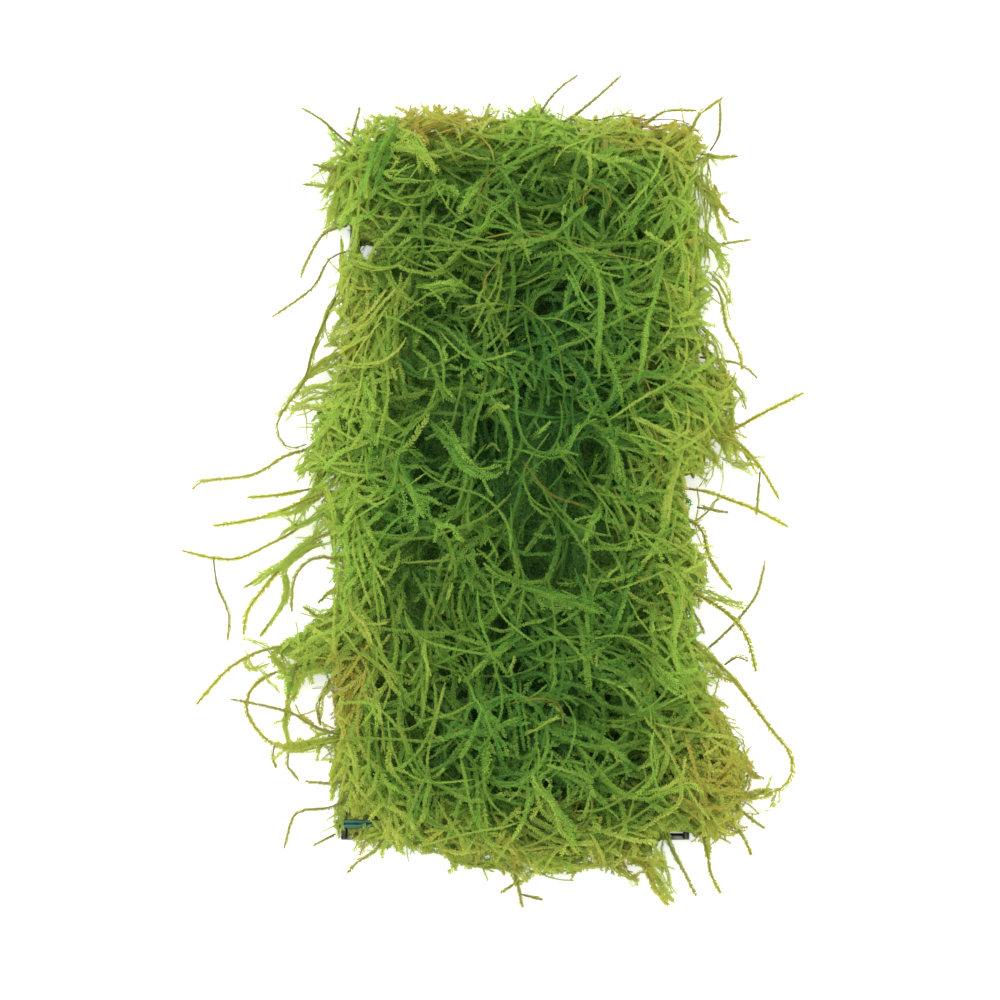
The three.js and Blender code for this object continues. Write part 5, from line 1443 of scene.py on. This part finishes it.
# Loose shoots: single long shoots that have come free of the pad and lie out on the table. The
# thin ones have small leaves pressed to the stem, the thick ones are feathery, greener and lighter.
# Each is the solid that it replaces, or None for a branch or stub between them, its leaf reach and
# its way.
THIN_REACH, THICK_REACH = 0.5, 0.9
LOOSE_LEAF, LOOSE_LEAF_GROWTH = 0.3, 0.5
LOOSE_STEM, LOOSE_STEM_GROWTH = 0.19, 0.13
LOOSE_TONE, THICK_TONE, LOOSE_TONE_SCATTER = 0.36, 0.06, 0.02
LOOSE_LIGHT, THICK_LIGHT, LOOSE_LIGHT_SCATTER = 0.42, 0.24, 0.05
LOOSE_ROLL, LOOSE_BARE, LOOSE_GREY, LOOSE_OPEN = 0.5, (0, 0.3), 0.17, 0.9
LOOSE_SHOOTS = {
    "left": [
        ["left_shoot_1", 0.5, (-38, 78, 8), (-43.5, 82.5, 7), (-48.5, 88, 4.5), (-53.5, 92, 2)],
        ["left_shoot_2", 0.5, (-40, 74, 7), (-45, 75, 6), (-50.5, 77, 4)],
        ["left_shoot_3", 0.5, (-39, 71, 6), (-45, 71.5, 4), (-53, 73, 1.5)],
        ["left_shoot_4", 0.6, (-42, 61, 6), (-47.5, 59.5, 5), (-51.8, 53, 2.5), (-53, 50, 1.2)],
        ["left_shoot_5", 0.5, (-41, 54, 9), (-46, 52.5, 7), (-50, 46.5, 4), (-59.4, 40.5, 1)],
        ["left_shoot_6", 0.5, (-44.3, 43.6, 6), (-47.1, 37.5, 5.4), (-49.5, 31.4, 5), (-51.4, 24, 4.6),
         (-56.5, 16.6, 3.6), (-57.6, 12.4, 3.4), (-54.9, 8.3, 3.6), (-50.7, 8.9, 4.6)],
        ["left_shoot_7", 0.7, (-47, 9, 5), (-52, 7.6, 3), (-56, 6.6, 2), (-63.1, 2.5, 1.2),
         (-74.7, 1, 0.9), (-77, -0.8, 0.8)],
        ["left_shoot_8", 0.8, (-46, -1, 5), (-52.6, -2, 3.5), (-58, -2.6, 2), (-64.3, -2.8, 1)],
        ["left_shoot_9", 0.9, (-45, -3, 8), (-51.6, -4.8, 5), (-57, -6.8, 2.6), (-64.1, -8.3, 1.2),
         (-71.9, -9.5, 1)],
        ["left_shoot_10", 0.7, (-44, -6, 5), (-50.5, -9, 3), (-54, -11.4, 2), (-59.2, -14, 1.3),
         (-65.7, -17, 1), (-71.7, -17, 1), (-79, -15.2, 0.8)],
        ["left_shoot_11", 0.5, (-71.7, -17, 1), (-70.6, -23.6, 0.8), (-67.9, -29.6, 0.8),
         (-68, -36, 0.8)],
        ["left_shoot_12", 1.0, (-41, -11, 7), (-46.4, -12.6, 5.5), (-51.4, -15, 3), (-56.7, -20, 1.6),
         (-60.3, -24.5, 1.3), (-63.6, -29.2, 1.2), (-64.4, -34.5, 1.2)],
        ["left_shoot_13", 0.7, (-54.9, -21, 0.9), (-54.6, -25.5, 0.9), (-57.4, -30.4, 0.9),
         (-60.6, -35, 0.9)],
        ["left_shoot_14", 0.6, (-41, -19, 6), (-46, -17.6, 5.5), (-50, -18.6, 4.6), (-53, -22.6, 3.6),
         (-53.4, -29.6, 2.8)],
        [None, 0.5, (-60.4, -21.3, 1.5), (-64.6, -24, 1.2)],
        [None, 0.6, (-44.2, -25, 5), (-47.3, -27.8, 4)],
        [None, 0.7, (-47.1, -31.5, 5), (-50.6, -28.8, 4.5)],
        [None, 0.5, (-41, 83, 7), (-39.4, 90.5, 6)],
    ],
    "corner": [
        ["corner_shoot_1", 0.8, (-52, -38, 6), (-58.6, -38.4, 4), (-64.7, -40.6, 1.6), (-69, -43.8, 1),
         (-74.6, -50.5, 0.9)],
        ["corner_shoot_2", 0.8, (-51, -42, 3), (-57.4, -43.6, 1.6), (-62, -46.6, 1), (-63.4, -51.4, 1),
         (-61, -56, 1), (-57.3, -59.4, 1), (-52.3, -60.4, 1.2), (-47, -58.6, 2)],
        ["corner_shoot_3", 0.9, (-52, -42, 5), (-53.8, -48.6, 1.6), (-54.6, -54, 1.2), (-54.4, -57, 1)],
        ["corner_shoot_4", 0.5, (-42, -58, 7), (-47.8, -56, 6), (-52.5, -53, 4.6), (-59.5, -51, 3.4),
         (-66.7, -49.6, 3)],
        ["corner_shoot_5", 0.5, (-53.7, -60.7, 1.2), (-54, -63.9, 0.8), (-52.6, -65.9, 0.8),
         (-51.3, -67.5, 0.8)],
        ["corner_shoot_6", 0.5, (-39, -68, 7), (-44, -68.6, 5), (-49.5, -68, 3.6)],
        ["corner_shoot_7", 0.5, (-37, -68, 8), (-42.4, -73.4, 5), (-50.3, -74.4, 2.6),
         (-52.6, -76.5, 1.4), (-54.2, -82.6, 0.8)],
        [None, 0.5, (-43.4, -44.4, 6), (-45.2, -47.5, 5), (-46.9, -51, 4.5), (-46.3, -55.4, 4)],
        [None, 0.4, (-42.8, -79.5, 1.2), (-47.7, -82, 0.9)],
        [None, 0.5, (-56.8, -59.9, 1.2), (-57.3, -62, 1), (-56.4, -64.8, 0.8)],
    ],
    "near": [
        ["near_shoot_1", 0.6, (-30, -79, 6), (-34, -83.4, 3), (-37.6, -85.4, 1.4), (-40, -88, 0.9)],
        ["near_shoot_2", 0.7, (-3.4, -84, 5), (-2.7, -88.6, 3), (-1.8, -92.6, 1.4), (-1.2, -95.4, 0.9)],
        ["near_shoot_3", 1.1, (21, -80, 7), (25.3, -86.4, 5), (28, -91.2, 2.4), (31, -95, 1.3)],
        ["near_shoot_4", 0.6, (31, -82, 6), (34.5, -88, 3.6), (37.2, -93, 1)],
        ["near_shoot_5", 0.7, (38, -78, 6), (39.8, -84.6, 3.6), (40.4, -88, 2), (42.6, -92.4, 0.9)],
        ["near_shoot_6", 0.7, (43, -75, 5), (47.6, -80, 3), (49.6, -84, 1)],
        ["near_shoot_7", 0.6, (44, -72, 6), (48.6, -75.6, 4), (52.6, -78.3, 2)],
        [None, 0.5, (-1.8, -92.6, 1.4), (3.1, -93.8, 1)],
        [None, 0.5, (-2.3, -90, 2), (-6, -92.3, 1.2)],
    ],
    "right": [
        ["right_shoot_1", 0.6, (39, 79, 7), (45, 78.6, 5), (50.2, 79.5, 3)],
        ["right_shoot_2", 0.6, (40, 71, 6), (45, 67.6, 4.6), (47.6, 64.2, 3), (50.2, 63.2, 2)],
        ["right_shoot_3", 0.6, (39, 55, 6), (45, 57, 4.4), (52.8, 59, 2)],
        ["right_shoot_4", 0.8, (40, 48, 8), (44.6, 44.5, 7), (46.3, 36, 6.4), (49, 31, 6),
         (49.6, 26.6, 5.4)],
        ["right_shoot_5", 0.6, (40, 29.5, 5), (46.4, 29, 3.4), (50.4, 28.2, 2), (53.7, 25.6, 1)],
        ["right_shoot_6", 0.8, (43, 10, 7), (48.4, 12.8, 5), (52, 15.3, 3), (56.6, 18, 1.6),
         (64.2, 22, 0.9)],
        ["right_shoot_7", 0.8, (40, 10, 8), (47.6, 9, 6.6), (53.4, 3.2, 5), (57.6, -3.8, 3.8)],
        ["right_shoot_8", 0.9, (33, -1.4, 6), (40.4, -2.2, 5), (46.3, -3.6, 2.4), (52.7, -5.8, 1.2),
         (59.8, -9.6, 0.9)],
        ["right_shoot_9", 0.9, (34, -8, 7), (39.6, -11, 5.4), (40.8, -16, 5), (43, -20.4, 4.4),
         (46.5, -24.6, 3)],
        ["right_shoot_10", 0.5, (36, -41.4, 6), (41.3, -37.7, 4), (45.5, -33.8, 2.4), (48.3, -30.8, 1.6),
         (52.4, -25.1, 1), (54.4, -17.6, 0.8)],
        ["right_shoot_11", 1.0, (36.8, -26, 9), (42.2, -28.8, 7.6), (46.8, -32.3, 6), (49.7, -36.4, 4.4),
         (51.5, -43.2, 2.6)],
        ["right_shoot_12", 0.9, (36.6, -37.4, 8), (43.4, -42.4, 5), (46.9, -45.9, 3.6),
         (54.9, -56.4, 1.6), (58.6, -60.9, 1.2), (59.4, -65.1, 1.2), (58.4, -67.8, 1.6),
         (56.3, -69.8, 2.2), (53.6, -70.6, 3)],
        [None, 0.5, (43.3, 79.7, 6), (45.7, 84.5, 5), (46.1, 92.9, 4)],
        [None, 0.5, (53.4, 2.5, 4.5), (52.5, -7.3, 3)],
        [None, 0.5, (38.7, -5.9, 5), (45.8, -7, 4)],
        [None, 0.6, (37, -29.7, 7), (39.7, -35, 6)],
        [None, 0.6, (44.3, -41.9, 4), (47.7, -39.8, 3), (49.8, -40.7, 2)],
    ],
    "far": [
        ["far_shoot_1", 0.5, (1.9, 85.1, 8), (4.9, 91.6, 6), (8.3, 96.4, 4), (12.6, 100.9, 1)],
        ["far_shoot_2", 0.5, (7.7, 85.3, 7), (12.5, 89.9, 4.6), (17.7, 95.2, 2.6), (22.8, 100.7, 0.9)],
        ["far_shoot_3", 0.6, (26, 84, 7), (32, 89.6, 5), (36, 90.8, 3.6), (40.6, 91.2, 2.4)],
        ["far_shoot_4", 0.7, (37, 80, 8), (40.6, 87.8, 8), (43, 90, 7), (46.6, 93.4, 5)],
        ["far_shoot_5", 0.6, (-10, 84, 8), (-9.4, 89, 6), (-8.6, 92.4, 4)],
    ],
}
for side, shoots in LOOSE_SHOOTS.items():
    loose_route = np.stack([evenly(points) for _, _, *points in shoots])
    loose_reach = np.array([reach for _, reach, *_ in shoots])
    loose = coloured(loose_route, LOOSE_LEAF + LOOSE_LEAF_GROWTH * loose_reach)
    thick = np.clip((loose_reach - THIN_REACH) / (THICK_REACH - THIN_REACH), 0, 1)
    tone_scatter = random.normal(0, LOOSE_TONE_SCATTER, len(shoots))
    loose["tone"] = LOOSE_TONE + THICK_TONE * thick + tone_scatter
    light_scatter = random.normal(0, LOOSE_LIGHT_SCATTER, len(shoots))
    loose["light"] = LOOSE_LIGHT + THICK_LIGHT * thick + light_scatter
    loose["roll"] *= LOOSE_ROLL
    loose["stem"] = LOOSE_STEM + LOOSE_STEM_GROWTH * loose_reach
    loose["bare"] = random.uniform(*LOOSE_BARE, len(shoots))
    loose["grey"] += LOOSE_GREY
    loose["open"] *= LOOSE_OPEN
    loose["deep"] *= 0
    add_moss(f"{side}_loose_shoots", loose, [name for name, *_ in shoots if name])
